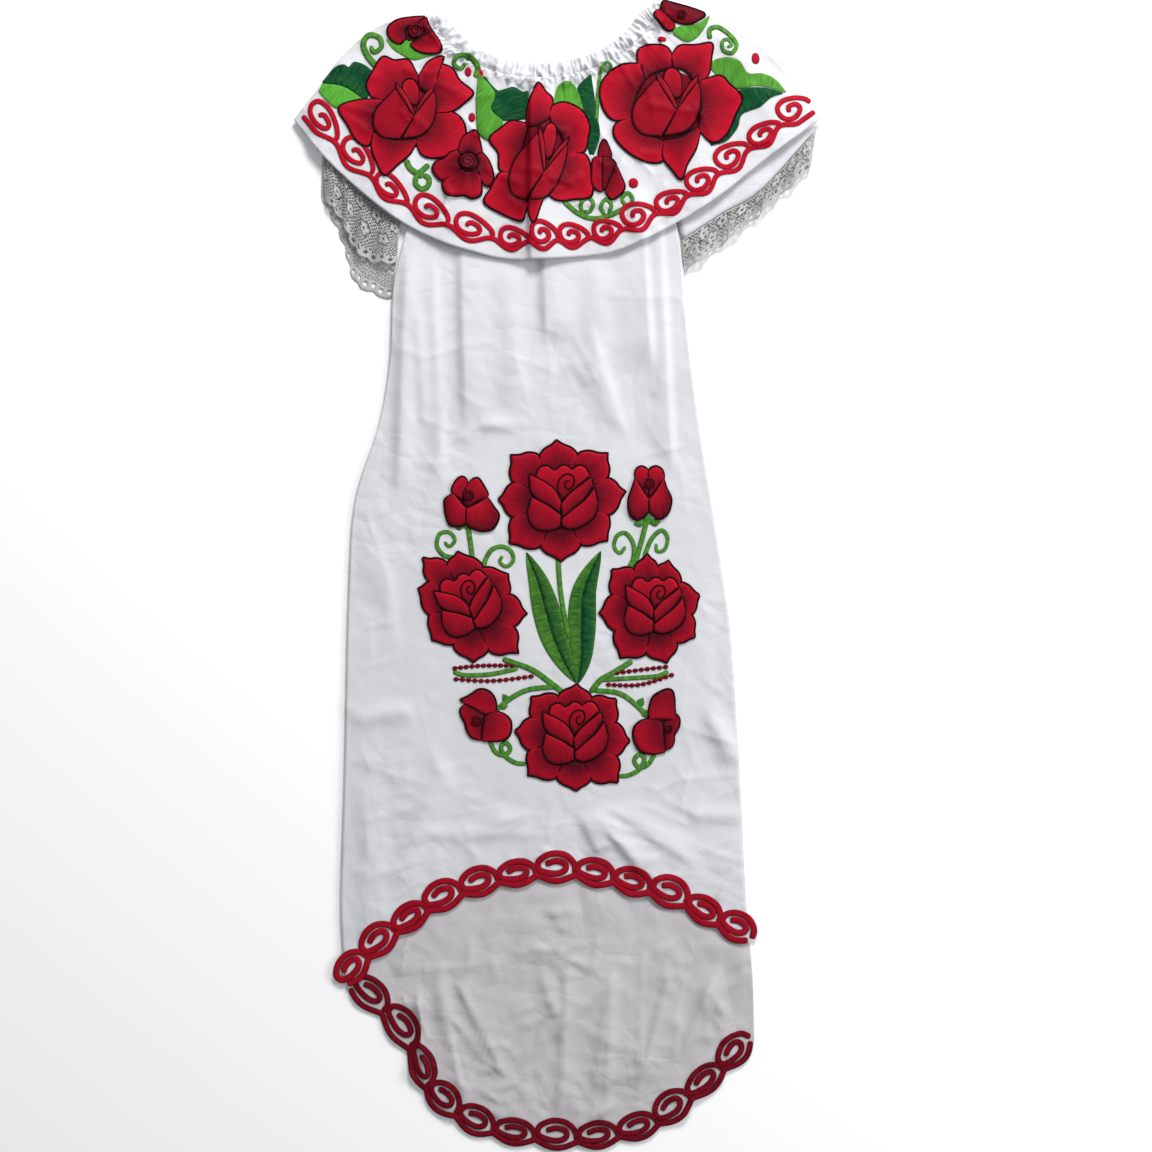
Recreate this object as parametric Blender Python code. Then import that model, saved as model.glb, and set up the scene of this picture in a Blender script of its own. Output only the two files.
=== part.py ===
"""Off-the-shoulder cotton dress with embroidered roses, laid flat on its back.

Metres, +Z up towards the viewer, +Y towards the neck, +X to the viewer's right.
Every cloth piece is a wall between two height surfaces over one patch of the floor.
"""

import bisect
import math
from collections import namedtuple

import bmesh
import bpy
from mathutils import Matrix, Vector
from mathutils.bvhtree import BVHTree

WALL = 0.0012
GAP = 0.0003
SEAM_GAP = 0.0011
LAYER = WALL + GAP
BAND_WIDTH = 0.017
SLEEVE_SHARE = 0.10
RAMP_LOW_Y = 0.215
RAMP_HIGH_Y = 0.275
RAMP_LEAD = 0.045
CURVE_STEPS = 12

# The edges of the laid dress, each from its left or upper end.
NECK = ((-0.134, 0.592), (-0.118, 0.585), (-0.099, 0.566), (-0.077, 0.550), (-0.045, 0.540),
        (-0.005, 0.538), (0.038, 0.549), (0.068, 0.568), (0.088, 0.592), (0.107, 0.603))
LEFT_SIDE = ((-0.140, 0.437), (-0.162, 0.352), (-0.173, 0.300), (-0.176, 0.231), (-0.188, 0.160),
             (-0.213, 0.080), (-0.220, -0.022), (-0.224, -0.200), (-0.228, -0.350), (-0.222, -0.432))
RIGHT_SIDE = ((0.111, 0.437), (0.127, 0.352), (0.132, 0.290), (0.138, 0.231), (0.150, 0.145),
              (0.164, 0.059), (0.181, -0.060), (0.191, -0.214), (0.197, -0.335), (0.202, -0.385))
FRONT_HEM = ((-0.222, -0.432), (-0.184, -0.392), (-0.126, -0.350), (-0.060, -0.325), (0.003, -0.317),
             (0.060, -0.326), (0.124, -0.346), (0.170, -0.371), (0.202, -0.385))
BACK_HEM = ((-0.221, -0.431), (-0.186, -0.462), (-0.158, -0.500), (-0.138, -0.545), (-0.090, -0.581),
            (-0.030, -0.595), (0.040, -0.597), (0.105, -0.580), (0.150, -0.545), (0.190, -0.508),
            (0.206, -0.486))
BACK_CORNER = (0.204, -0.420)
RUFFLE_LEFT = ((-0.182, 0.579), (-0.224, 0.547), (-0.252, 0.510), (-0.277, 0.478))
RUFFLE_RIGHT = ((0.154, 0.588), (0.194, 0.568), (0.226, 0.543), (0.252, 0.511), (0.277, 0.480))
RUFFLE_HEM = ((-0.277, 0.478), (-0.240, 0.434), (-0.186, 0.386), (-0.134, 0.355), (-0.080, 0.337),
              (-0.040, 0.331), (0.020, 0.334), (0.060, 0.340), (0.110, 0.362), (0.165, 0.395),
              (0.218, 0.437), (0.277, 0.480))
LEFT_CUFF = ((-0.246, 0.453), (-0.209, 0.412), (-0.165, 0.372))
RIGHT_CUFF = ((0.270, 0.468), (0.212, 0.405), (0.172, 0.381), (0.129, 0.353))
LEFT_LACE_FRONT = ((-0.246, 0.398), (-0.226, 0.372), (-0.214, 0.345), (-0.196, 0.330), (-0.176, 0.328))
LEFT_LACE_BACK = ((-0.250, 0.402), (-0.226, 0.352), (-0.214, 0.311), (-0.196, 0.298), (-0.178, 0.290))
RIGHT_LACE_FRONT = ((0.262, 0.424), (0.240, 0.404), (0.212, 0.379), (0.180, 0.353), (0.135, 0.318))
RIGHT_LACE_BACK = ((0.264, 0.430), (0.240, 0.410), (0.212, 0.386), (0.180, 0.360), (0.136, 0.325))

# Grid cells across and along each piece.
FRONT_GRID = (36, 24)
BACK_GRID = (36, 16)
FRONT_RUFFLE_GRID = (56, 9)
BACK_RUFFLE_GRID = (20, 4)
BAND_FRONT_GRID = (84, 2)
BAND_BACK_GRID = (30, 2)
SLEEVE_GRID = (12, 6)
LACE_GRID = (15, 7)

HEM_SCALLOPS = 12
HEM_SCALLOP_DEPTH = 0.007
HEM_SCALLOP_MEAN = 0.6
BORDER_RISE = 0.0008
BORDER_START = 0.954
BORDER_END = 0.98
# Pleats rise from under the ruffle, at half height there, and end below the neck.
PLEAT_FULL_Y = 0.290
PLEAT_HALF_Y = 0.360
PLEAT_NECK_Y = 0.480
PLEAT_NECK_RUN = 0.060
HEM_PRESS = 0.06
# The back's own creases start clear of the front's hem.
BACK_CREASE_Y = -0.435
BACK_CREASE_RUN = 0.030
BAND_GATHERS = 28
BAND_GATHER_RISE = 0.0016
RUFFLE_GATHERS = 14
RUFFLE_LIFT_NECK = 0.0045
RUFFLE_LIFT_HEM = 0.0088
RUFFLE_DROP = 0.0050
RUFFLE_GATHER_RISE = 0.0022
RUFFLE_GATHER_END = 0.45
RUFFLE_GATHER_START = 0.08
RUFFLE_WAVE_RISE = 0.0035
RUFFLE_WAVE_START = 0.35
RUFFLE_WAVE_PHASE = 0.8
RUFFLE_LIFT_RUN = 0.5
SHOULDER_CLEAR = 0.004
SHOULDER_RUN = 0.020
FOLD_EDGE = 0.01
BACK_RUFFLE_INSET = 0.014
BOUQUET_X = 0.003
BOUQUET_Y = -0.045
BOUQUET_HALF_WIDTH = 0.165
BOUQUET_HALF_DEPTH = 0.200
BOUQUET_EDGE = 0.12
LACE_WAVES = 4
LACE_WAVE_RISE = 0.006
LACE_WAVE_RUN = 0.6
THREAD_RISE = 0.0022
STITCH_REACH = 0.007
PETAL_NOTCH = 0.14
ROSE_HEART = 0.4
ROSE_SEGMENTS = (24, 10)
BUD_SEGMENTS = (10, 6)

Fold = namedtuple("Fold", "x0 y0 x1 y1 half_width height")
FRONT_FOLDS = (
    Fold(-0.157, 0.345, -0.166, 0.100, 0.011, 0.0060),
    Fold(-0.146, 0.275, -0.140, 0.160, 0.007, 0.0025),
    Fold(-0.132, 0.330, -0.122, 0.095, 0.009, 0.0035),
    Fold(-0.100, 0.400, -0.090, 0.105, 0.012, 0.0070),
    Fold(-0.055, 0.330, -0.044, 0.180, 0.014, 0.0030),
    Fold(-0.014, 0.360, -0.009, 0.150, 0.011, 0.0050),
    Fold(0.038, 0.340, 0.046, 0.170, 0.014, 0.0030),
    Fold(0.085, 0.370, 0.100, 0.155, 0.011, 0.0070),
    Fold(0.108, 0.370, 0.120, 0.120, 0.009, 0.0055),
    Fold(-0.062, 0.152, -0.012, 0.140, 0.009, 0.0055),
    Fold(0.136, 0.030, 0.166, -0.020, 0.010, 0.0030),
    Fold(-0.212, -0.150, -0.150, -0.140, 0.010, 0.0035),
    Fold(-0.196, 0.020, -0.150, -0.080, 0.013, 0.0030),
    Fold(0.140, -0.120, 0.188, -0.195, 0.010, 0.0045),
    Fold(0.120, -0.080, 0.176, -0.082, 0.009, 0.0030),
    Fold(0.140, -0.250, 0.190, -0.252, 0.009, 0.0030),
    Fold(0.016, -0.228, -0.070, -0.262, 0.010, 0.0045),
    Fold(0.018, -0.230, 0.044, -0.290, 0.010, 0.0050),
    Fold(0.024, -0.230, 0.092, -0.312, 0.010, 0.0045),
    Fold(0.034, -0.226, 0.140, -0.300, 0.011, 0.0035),
    Fold(-0.150, -0.270, -0.020, -0.270, 0.008, 0.0020),
    Fold(-0.110, -0.180, -0.168, -0.320, 0.014, 0.0035),
    Fold(-0.200, -0.220, -0.190, -0.380, 0.014, 0.0030),
)
BACK_FOLDS = (
    Fold(-0.147, -0.440, -0.140, -0.530, 0.010, 0.0045),
    Fold(-0.110, -0.400, -0.060, -0.540, 0.012, 0.0030),
    Fold(-0.040, -0.380, 0.020, -0.520, 0.012, 0.0035),
    Fold(0.030, -0.390, 0.080, -0.530, 0.012, 0.0030),
    Fold(0.170, -0.400, 0.110, -0.520, 0.012, 0.0035),
    Fold(0.060, -0.420, -0.030, -0.500, 0.010, 0.0025),
)
RUFFLE_FOLDS = (
    Fold(-0.030, 0.515, -0.028, 0.340, 0.012, 0.0060),
    Fold(0.083, 0.400, 0.082, 0.355, 0.008, 0.0040),
    Fold(-0.215, 0.540, -0.262, 0.470, 0.012, 0.0030),
    Fold(0.180, 0.560, 0.235, 0.470, 0.014, 0.0030),
)

Motif = namedtuple("Motif", "name x y half_width half_depth petals turn")
FRONT_ROSES = (
    Motif("rose_top", 0.003, 0.078, 0.066, 0.064, 8, 0.2),
    Motif("rose_left", -0.096, -0.033, 0.057, 0.059, 7, 0.5),
    Motif("rose_right", 0.100, -0.035, 0.054, 0.058, 7, 0.1),
    Motif("rose_bottom", 0.016, -0.168, 0.061, 0.056, 8, 0.0),
    Motif("bud_upper_left", -0.091, 0.076, 0.028, 0.028, 3, 1.2),
    Motif("bud_upper_right", 0.097, 0.088, 0.022, 0.028, 3, 0.6),
    Motif("bud_lower_left", -0.076, -0.146, 0.027, 0.027, 3, 2.0),
    Motif("bud_lower_right", 0.104, -0.155, 0.024, 0.032, 3, 0.4),
)
RUFFLE_ROSES = (
    Motif("ruffle_rose_left", -0.160, 0.484, 0.061, 0.056, 8, 0.4),
    Motif("ruffle_rose_centre", -0.020, 0.447, 0.050, 0.064, 7, 0.2),
    Motif("ruffle_rose_right", 0.118, 0.492, 0.064, 0.064, 8, 0.0),
    Motif("ruffle_bud_low_left", -0.093, 0.432, 0.021, 0.027, 3, 0.9),
    Motif("ruffle_bud_low_right", 0.051, 0.420, 0.015, 0.024, 3, 0.3),
)
# A leaf's turn is the way its tip points, and its petals are its two ends.
FRONT_LEAVES = (
    Motif("leaf_left", -0.010, -0.040, 0.072, 0.017, 2, 1.95),
    Motif("leaf_right", 0.032, -0.044, 0.068, 0.016, 2, 1.40),
)
RUFFLE_LEAVES = (
    Motif("ruffle_leaf_left", -0.224, 0.526, 0.022, 0.010, 2, 2.5),
    Motif("ruffle_leaf_centre_left", -0.080, 0.500, 0.020, 0.009, 2, 1.9),
    Motif("ruffle_leaf_centre_right", 0.037, 0.484, 0.032, 0.009, 2, 1.7),
    Motif("ruffle_leaf_right", 0.214, 0.486, 0.026, 0.012, 2, -0.5),
)

COLOURS = {
    "white_cotton": ((0.79, 0.80, 0.83), 0.85),
    "white_lace": ((0.72, 0.73, 0.75), 0.80),
    "red_thread": ((0.42, 0.008, 0.025), 0.45),
    "green_thread": ((0.05, 0.19, 0.035), 0.45),
}


def clear_scene():
    for item in list(bpy.data.objects):
        bpy.data.objects.remove(item)


def finish(name):
    """The material of this name, made once."""
    found = bpy.data.materials.get(name)
    if found:
        return found
    made = bpy.data.materials.new(name)
    made.use_nodes = True
    shader = made.node_tree.nodes["Principled BSDF"]
    colour, roughness = COLOURS[name]
    shader.inputs["Base Color"].default_value = (*colour, 1.0)
    shader.inputs["Roughness"].default_value = roughness
    shader.inputs["Metallic"].default_value = 0.0
    return made


def smooth(value):
    """0 below 0, 1 above 1, and a soft S between them."""
    held = min(max(value, 0.0), 1.0)
    return held * held * (3.0 - 2.0 * held)


def curve(points):
    """A smooth curve through the points, as a function of the share of its length."""
    ends = [Vector(point) for point in points]
    ends = [2 * ends[0] - ends[1], *ends, 2 * ends[-1] - ends[-2]]
    places = []
    for first, start, end, last in zip(ends, ends[1:], ends[2:], ends[3:]):
        for step in range(CURVE_STEPS):
            t = step / CURVE_STEPS
            bend = (2 * start + (end - first) * t + (2 * first - 5 * start + 4 * end - last) * t * t
                    + (3 * start - first - 3 * end + last) * t ** 3)
            places.append(bend / 2)
    places.append(ends[-2])
    lengths = [0.0]
    for before, after in zip(places, places[1:]):
        lengths.append(lengths[-1] + (after - before).length)

    def at(share):
        reach = min(max(share, 0.0), 1.0) * lengths[-1]
        index = min(max(bisect.bisect_left(lengths, reach), 1), len(lengths) - 1)
        part = (reach - lengths[index - 1]) / (lengths[index] - lengths[index - 1])
        return places[index - 1].lerp(places[index], part)

    return at


def part_of(line, start, end):
    """The stretch of a curve between two shares of its length."""
    return lambda share: line(start + (end - start) * share)


def shifted(line, distance):
    """A curve moved sideways by a distance, to its right as it runs."""
    def at(share):
        along = line(min(share + 0.01, 1.0)) - line(max(share - 0.01, 0.0))
        aside = Vector((along.y, -along.x)).normalized()
        return line(share) + aside * distance

    return at


def patch(top, bottom, left, right):
    """The sheet that fills four edges: u runs from left to right and v from top to bottom."""
    def at(u, v):
        edges = top(u) * (1 - v) + bottom(u) * v + left(v) * (1 - u) + right(v) * u
        upper = top(0.0) * (1 - u) + top(1.0) * u
        lower = bottom(0.0) * (1 - u) + bottom(1.0) * u
        return edges - upper * (1 - v) - lower * v

    return at


def fold_height(folds, x, y):
    """The height of the soft ridges here, each highest along the middle of its line."""
    height = 0.0
    for fold in folds:
        along = Vector((fold.x1 - fold.x0, fold.y1 - fold.y0))
        offset = Vector((x - fold.x0, y - fold.y0))
        length = along.length
        share = offset.dot(along) / (length * length)
        aside = (offset.x * along.y - offset.y * along.x) / length
        ends = smooth((share + 0.15) / 0.3) * smooth((1.15 - share) / 0.3)
        height += fold.height * ends * math.exp(-((aside / fold.half_width) ** 2))
    return height


def off_bouquet(x, y):
    """0 on the oval that the front's stitches hold tight and flat, 1 well outside it."""
    ring = math.hypot((x - BOUQUET_X) / BOUQUET_HALF_WIDTH, (y - BOUQUET_Y) / BOUQUET_HALF_DEPTH)
    return smooth((ring - 1.0) / BOUQUET_EDGE)


def over_ruffle(y):
    """1 where the back ruffle lies underneath, 0 on the skirt."""
    return smooth((y - RAMP_LOW_Y) / (RAMP_HIGH_Y - RAMP_LOW_Y))


def wall(name, colour, grid, inner, outer, gap=None):
    """A closed cloth wall between two surfaces, each a function of u and v."""
    mesh = bmesh.new()
    bmesh.ops.create_grid(mesh, x_segments=grid[0], y_segments=grid[1], size=0.5)
    if gap:
        holes = [face for face in mesh.faces if gap(*flat_place(face.calc_center_median()))]
        bmesh.ops.delete(mesh, geom=holes, context="FACES")
    doubled = bmesh.ops.extrude_face_region(mesh, geom=mesh.faces[:], use_keep_orig=True)
    raised = {item for item in doubled["geom"] if isinstance(item, bmesh.types.BMVert)}
    for vertex in mesh.verts:
        surface = outer if vertex in raised else inner
        vertex.co = surface(*flat_place(vertex.co))
    bmesh.ops.recalc_face_normals(mesh, faces=mesh.faces[:])
    if mesh.calc_volume(signed=True) < 0:
        bmesh.ops.reverse_faces(mesh, faces=mesh.faces[:])
    return placed(name, colour, mesh)


def flat_place(place):
    """The u and v of a point of the flat grid."""
    return place.x + 0.5, 0.5 - place.y


def placed(name, colour, mesh):
    """The mesh as a named, smooth-shaded object of the scene."""
    data = bpy.data.meshes.new(name)
    mesh.to_mesh(data)
    mesh.free()
    data.materials.append(finish(colour))
    data.shade_smooth()
    item = bpy.data.objects.new(name, data)
    bpy.context.collection.objects.link(item)
    return item


def panel(name, colour, grid, sheet, lift, rise, gap=None):
    """A wall over a flat sheet: its underside is at lift(x, y, u, v) and rise is its top's own relief."""
    def under(u, v):
        x, y = sheet(u, v)
        return Vector((x, y, lift(x, y, u, v)))

    def over(u, v):
        x, y, z = under(u, v)
        return Vector((x, y, z + WALL + rise(x, y, u, v)))

    return wall(name, colour, grid, under, over, gap)


def plain(x, y, u, v):
    """No relief of its own."""
    return 0.0


def scalloped(hem):
    """A hem curve with rounded scallops cut into it."""
    def at(share):
        bulge = abs(math.sin(math.pi * HEM_SCALLOPS * share)) - HEM_SCALLOP_MEAN
        return shifted(hem, HEM_SCALLOP_DEPTH * bulge)(share)

    return at


def border_rise(x, y, u, v):
    """The satin border near the hem, raised in the wall's outer points."""
    return BORDER_RISE if BORDER_START <= v <= BORDER_END else 0.0


def side_edge(neck_end, side):
    """A side seam from the neck down through its own points."""
    return curve((tuple(neck_end), *side))


def body_sheet(low_neck, hem, right_side):
    """The outline of a body panel between the sleeves and the side seams."""
    return patch(
        part_of(low_neck, SLEEVE_SHARE, 1 - SLEEVE_SHARE), scalloped(curve(hem)),
        side_edge(low_neck(SLEEVE_SHARE), LEFT_SIDE), side_edge(low_neck(1 - SLEEVE_SHARE), right_side))


def make_back(low_neck):
    """The long back panel, flat underneath where it rests, creased where the front ends."""
    def lift(x, y, u, v):
        return LAYER * over_ruffle(y)

    def creases(x, y, u, v):
        return fold_height(BACK_FOLDS, x, y) * smooth((BACK_CREASE_Y - y) / BACK_CREASE_RUN)

    sheet = body_sheet(low_neck, BACK_HEM, (*RIGHT_SIDE[:-1], BACK_CORNER, BACK_HEM[-1]))
    return panel("back_panel", "white_cotton", BACK_GRID, sheet, lift, creases)


def front_lift(x, y, u, v):
    """The front lies on the back in its pleats and creases, lower under the ruffle and at the hem."""
    covered = smooth((y - PLEAT_FULL_Y) / (PLEAT_HALF_Y - PLEAT_FULL_Y))
    pleats = fold_height(FRONT_FOLDS, x, y) * off_bouquet(x, y) * (1.0 - 0.5 * covered)
    pleats *= smooth((PLEAT_NECK_Y - y) / PLEAT_NECK_RUN) * (0.5 + 0.5 * smooth((1.0 - v) / HEM_PRESS))
    return LAYER * (1.0 + over_ruffle(y + RAMP_LEAD)) + pleats


def make_front(low_neck):
    sheet = body_sheet(low_neck, FRONT_HEM, RIGHT_SIDE)
    return panel("front_panel", "white_cotton", FRONT_GRID, sheet, front_lift, border_rise)


def straight(line, share):
    """The short end of the neck casing, straight across it."""
    return lambda v: line(share).lerp(shifted(line, BAND_WIDTH)(share), v)


def make_bands(neck):
    """The elastic casing of the neck, ruched across its width in front."""
    def ruche(x, y, u, v):
        return LAYER + BAND_GATHER_RISE * (0.5 + 0.5 * math.cos(2 * math.pi * BAND_GATHERS * u))

    sheet = patch(neck, shifted(neck, BAND_WIDTH), straight(neck, 0.0), straight(neck, 1.0))
    panel("neck_band_back", "white_cotton", BAND_BACK_GRID, sheet,
          lambda x, y, u, v: 0.0, lambda x, y, u, v: LAYER)
    panel("neck_band_front", "white_cotton", BAND_FRONT_GRID, sheet,
          lambda x, y, u, v: 2 * LAYER, ruche)


def shoulder_drop(x, y):
    """How far outside the sleeve's folded edge this point lies, from 0 to 1."""
    drop = 0.0
    for start, end, way in ((NECK[0], LEFT_CUFF[0], 1.0), (NECK[-1], RIGHT_CUFF[0], -1.0)):
        along = (Vector(end) - Vector(start)).normalized()
        offset = Vector((x, y)) - Vector(start)
        outside = way * (offset.x * along.y - offset.y * along.x)
        drop = max(drop, smooth((outside - SHOULDER_CLEAR) / SHOULDER_RUN))
    return drop


def ruffle_lift(x, y, u, v):
    """The front ruffle lies over the sleeves and bodice and drops at the shoulder folds."""
    spread = smooth(v / RUFFLE_LIFT_RUN)
    climb = RUFFLE_LIFT_HEM - RUFFLE_LIFT_NECK - RUFFLE_DROP * shoulder_drop(x, y)
    gathers = 0.5 - 0.5 * math.cos(2 * math.pi * RUFFLE_GATHERS * u)
    gathers *= smooth((RUFFLE_GATHER_END - v) / RUFFLE_GATHER_END) * smooth(v / RUFFLE_GATHER_START)
    waves = 0.5 - 0.5 * math.cos(math.pi * RUFFLE_GATHERS * u + RUFFLE_WAVE_PHASE)
    waves *= smooth((v - RUFFLE_WAVE_START) / (1.0 - RUFFLE_WAVE_START))
    relief = RUFFLE_GATHER_RISE * gathers + RUFFLE_WAVE_RISE * waves + fold_height(RUFFLE_FOLDS, x, y)
    return RUFFLE_LIFT_NECK + spread * climb + relief


def make_ruffles(low_neck):
    panel("back_ruffle", "white_cotton", BACK_RUFFLE_GRID, ruffle_sheet(low_neck, BACK_RUFFLE_INSET),
          lambda x, y, u, v: 0.0, plain)
    return panel("front_ruffle", "white_cotton", FRONT_RUFFLE_GRID, ruffle_sheet(low_neck, 0.0),
                 ruffle_lift, plain)


def ruffle_sheet(low_neck, inset):
    """The ruffle's outline, with its hem and sides drawn in by the inset."""
    edge = shifted(low_neck, SEAM_GAP)
    hem = shifted(curve(RUFFLE_HEM), -inset)
    left = shifted(side_edge(low_neck(0.0), RUFFLE_LEFT), -inset)
    right = shifted(side_edge(low_neck(1.0), RUFFLE_RIGHT), inset)
    return patch(edge, hem, left, right)


def make_sleeve(name, neck_part, cuff, seam, fold):
    """A short sleeve laid flat: its cloth runs under, round the folded edge and back over."""
    sheet = patch(neck_part, cuff, fold, seam)
    outward = (fold(0.5) - seam(0.5)).normalized() * LAYER

    def round_fold(s):
        """How far in from the fold, and 0 on the lower layer, 1 on the upper and a half at the fold."""
        upper = 0.0 if s < 0.5 - FOLD_EDGE else 1.0 if s > 0.5 + FOLD_EDGE else 0.5
        return abs(2 * s - 1), upper

    def inner(s, v):
        u, upper = round_fold(s)
        return sheet(u, v).to_3d() + Vector((0, 0, LAYER + WALL + GAP * upper))

    def outer(s, v):
        u, upper = round_fold(s)
        place = sheet(u, v) + (outward if upper == 0.5 else Vector((0, 0)))
        return place.to_3d() + Vector((0, 0, LAYER + (2 * WALL + GAP) * upper))

    return wall(name, "white_cotton", SLEEVE_GRID, inner, outer)


def make_sides(low_neck):
    """Each sleeve and its lace, front and back, from the folded edge inwards."""
    sides = (
        ("left", 0.0, SLEEVE_SHARE, SEAM_GAP, LEFT_CUFF, LEFT_SIDE, LEFT_LACE_FRONT, LEFT_LACE_BACK),
        ("right", 1.0, 1 - SLEEVE_SHARE, -SEAM_GAP, RIGHT_CUFF, RIGHT_SIDE, RIGHT_LACE_FRONT, RIGHT_LACE_BACK))
    for side, outer, inner, out, cuff_points, body, front_edge, back_edge in sides:
        cuff = curve(cuff_points)
        seam = shifted(side_edge(low_neck(inner), (body[0], cuff_points[-1])), out)
        fold = curve((tuple(low_neck(outer)), cuff_points[0]))
        make_sleeve("sleeve_" + side, part_of(low_neck, outer, inner), cuff, seam, fold)
        make_lace("lace_%s_front" % side, shifted(cuff, out), front_edge, 2 * LAYER, 0.0, LACE_WAVE_RISE)
        make_lace("lace_%s_back" % side, shifted(cuff, out), back_edge, LAYER, LAYER, 0.0)


def eyelet(u, v):
    """Every second cell of every second row is an open eyelet of the lace."""
    column = int(u * LACE_GRID[0])
    row = int(v * LACE_GRID[1])
    return column % 2 == 1 and row % 2 == 1 and column < LACE_GRID[0] - 1 and row < LACE_GRID[1] - 1


def make_lace(name, top, edge, start, drop, wave_rise):
    """A gathered lace frill that hangs from a cuff, cut through at its eyelets."""
    outline = curve(edge)
    sheet = patch(top, outline, lambda v: top(0.0).lerp(outline(0.0), v),
                  lambda v: top(1.0).lerp(outline(1.0), v))

    def lift(x, y, u, v):
        wave = 0.5 - 0.5 * math.cos(2 * math.pi * LACE_WAVES * u)
        return start - drop * smooth(v) + wave_rise * wave * smooth(v / LACE_WAVE_RUN)

    return panel(name, "white_lace", LACE_GRID, sheet, lift, plain, eyelet)


def petal_reach(motif, angle):
    """How far the outline stands out at this angle, as a share of the motif's half size."""
    if motif.petals == 2:
        return 1.0 / (1.0 + 0.9 * abs(math.sin(angle) * math.cos(angle)))
    return 1.0 - PETAL_NOTCH * (1.0 - abs(math.cos(motif.petals * angle / 2)))


def embroidered(motif, colour, tree):
    """A raised flower, bud or leaf of satin stitches, made from the points of the cloth that carries it."""
    leaf = motif.petals == 2
    round_segments, height_segments = ROSE_SEGMENTS if motif.petals > 3 else BUD_SEGMENTS
    mesh = bmesh.new()
    bmesh.ops.create_uvsphere(mesh, u_segments=round_segments, v_segments=height_segments, radius=1.0)
    for vertex in mesh.verts:
        ring = math.hypot(vertex.co.x, vertex.co.y)
        angle = math.atan2(vertex.co.y, vertex.co.x)
        reach = petal_reach(motif, angle if leaf else angle + motif.turn)
        way = Vector((vertex.co.x * motif.half_width, vertex.co.y * motif.half_depth)) * reach
        if leaf:
            way.rotate(Matrix.Rotation(motif.turn, 2))
        dome = THREAD_RISE * petal_relief(ring, angle, motif) if vertex.co.z > 0.01 else 0.0
        x, y = motif.x + way.x, motif.y + way.y
        vertex.co = (x, y, cloth_top(tree, x, y) + 2 * GAP + dome)
    return placed(motif.name, colour, mesh)


def petal_relief(ring, angle, motif):
    """The heart and the two rounds of petals, higher towards the middle."""
    if motif.petals < 4:
        return math.sqrt(max(1.0 - ring * ring, 0.0))
    petals = abs(math.cos(motif.petals * (angle + motif.turn) / 2))
    return max(1.0 - ring, 0.0) ** 0.35 * (0.45 + 0.55 * petals if ring > ROSE_HEART else 1.0)


def cloth_top(tree, x, y):
    """The highest cloth under a stitched facet here."""
    tops = []
    for aside, ahead in ((0, 0), (1, 0), (-1, 0), (0, 1), (0, -1)):
        above = Vector((x + aside * STITCH_REACH, y + ahead * STITCH_REACH, 1.0))
        place, _, _, _ = tree.ray_cast(above, Vector((0, 0, -1)))
        tops.append(place.z if place else 0.0)
    return max(tops)


def surface_of(item):
    """The cloth's own faces, ready to be measured from above."""
    return BVHTree.FromPolygons([v.co for v in item.data.vertices], [p.vertices for p in item.data.polygons])


def build():
    clear_scene()
    neck = curve(NECK)
    low_neck = shifted(neck, BAND_WIDTH + SEAM_GAP)
    make_bands(neck)
    make_back(low_neck)
    front = make_front(low_neck)
    ruffle = make_ruffles(low_neck)
    make_sides(low_neck)
    stitched = ((front, FRONT_ROSES, FRONT_LEAVES), (ruffle, RUFFLE_ROSES, RUFFLE_LEAVES))
    for carrier, flowers, leaves in stitched:
        tree = surface_of(carrier)
        for motif in flowers:
            embroidered(motif, "red_thread", tree)
        for motif in leaves:
            embroidered(motif, "green_thread", tree)


build()
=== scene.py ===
"""Looks of an off-the-shoulder cotton dress with embroidered roses, laid flat on its back.

Metres, +Z up towards the viewer, +Y towards the neck, +X to the viewer's right.
Each cloth is a thin shell on its solid's form, and each flower is satin stitch laid on the cloth.
"""

import math
from collections import namedtuple
from functools import lru_cache

import bmesh
import bpy
import numpy as np
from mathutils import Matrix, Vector
from mathutils.bvhtree import BVHTree


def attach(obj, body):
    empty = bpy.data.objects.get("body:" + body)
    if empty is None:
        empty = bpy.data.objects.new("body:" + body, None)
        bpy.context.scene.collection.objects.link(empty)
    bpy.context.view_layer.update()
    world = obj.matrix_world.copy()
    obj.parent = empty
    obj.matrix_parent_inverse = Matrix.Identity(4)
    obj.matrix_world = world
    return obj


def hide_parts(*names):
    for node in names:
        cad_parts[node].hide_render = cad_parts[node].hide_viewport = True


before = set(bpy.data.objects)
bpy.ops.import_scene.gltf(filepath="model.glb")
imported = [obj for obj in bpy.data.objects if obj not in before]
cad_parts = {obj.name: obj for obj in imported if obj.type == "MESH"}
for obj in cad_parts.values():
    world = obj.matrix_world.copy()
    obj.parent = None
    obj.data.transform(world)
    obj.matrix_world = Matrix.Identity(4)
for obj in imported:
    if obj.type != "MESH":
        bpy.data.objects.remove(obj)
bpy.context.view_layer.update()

# The camera looks straight down and shows VIEW_WIDTH of the floor.
CAMERA_X = 0.0189
CAMERA_HEIGHT = 3.2
CAMERA_SENSOR = 36.0
VIEW_WIDTH = 1.2096

FLOOR_SIZE = 6.0
FLOOR_Z = -0.0004
KEY_PLACE = (0.5, 2.3, 1.7)
KEY_SIZE = 0.9
KEY_POWER = 78.0
SIDE_PLACE = (2.0, 0.3, 1.1)
SIDE_SIZE = 0.9
SIDE_POWER = 30.0
ROOM_STRENGTH = 0.46
KEY_COLOUR = (1.0, 0.99, 0.97)
SIDE_COLOUR = (0.96, 0.98, 1.0)
ROOM_COLOUR = (0.95, 0.97, 1.0, 1.0)
FLOOR_COLOUR = (0.93, 0.93, 0.93)

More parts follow.
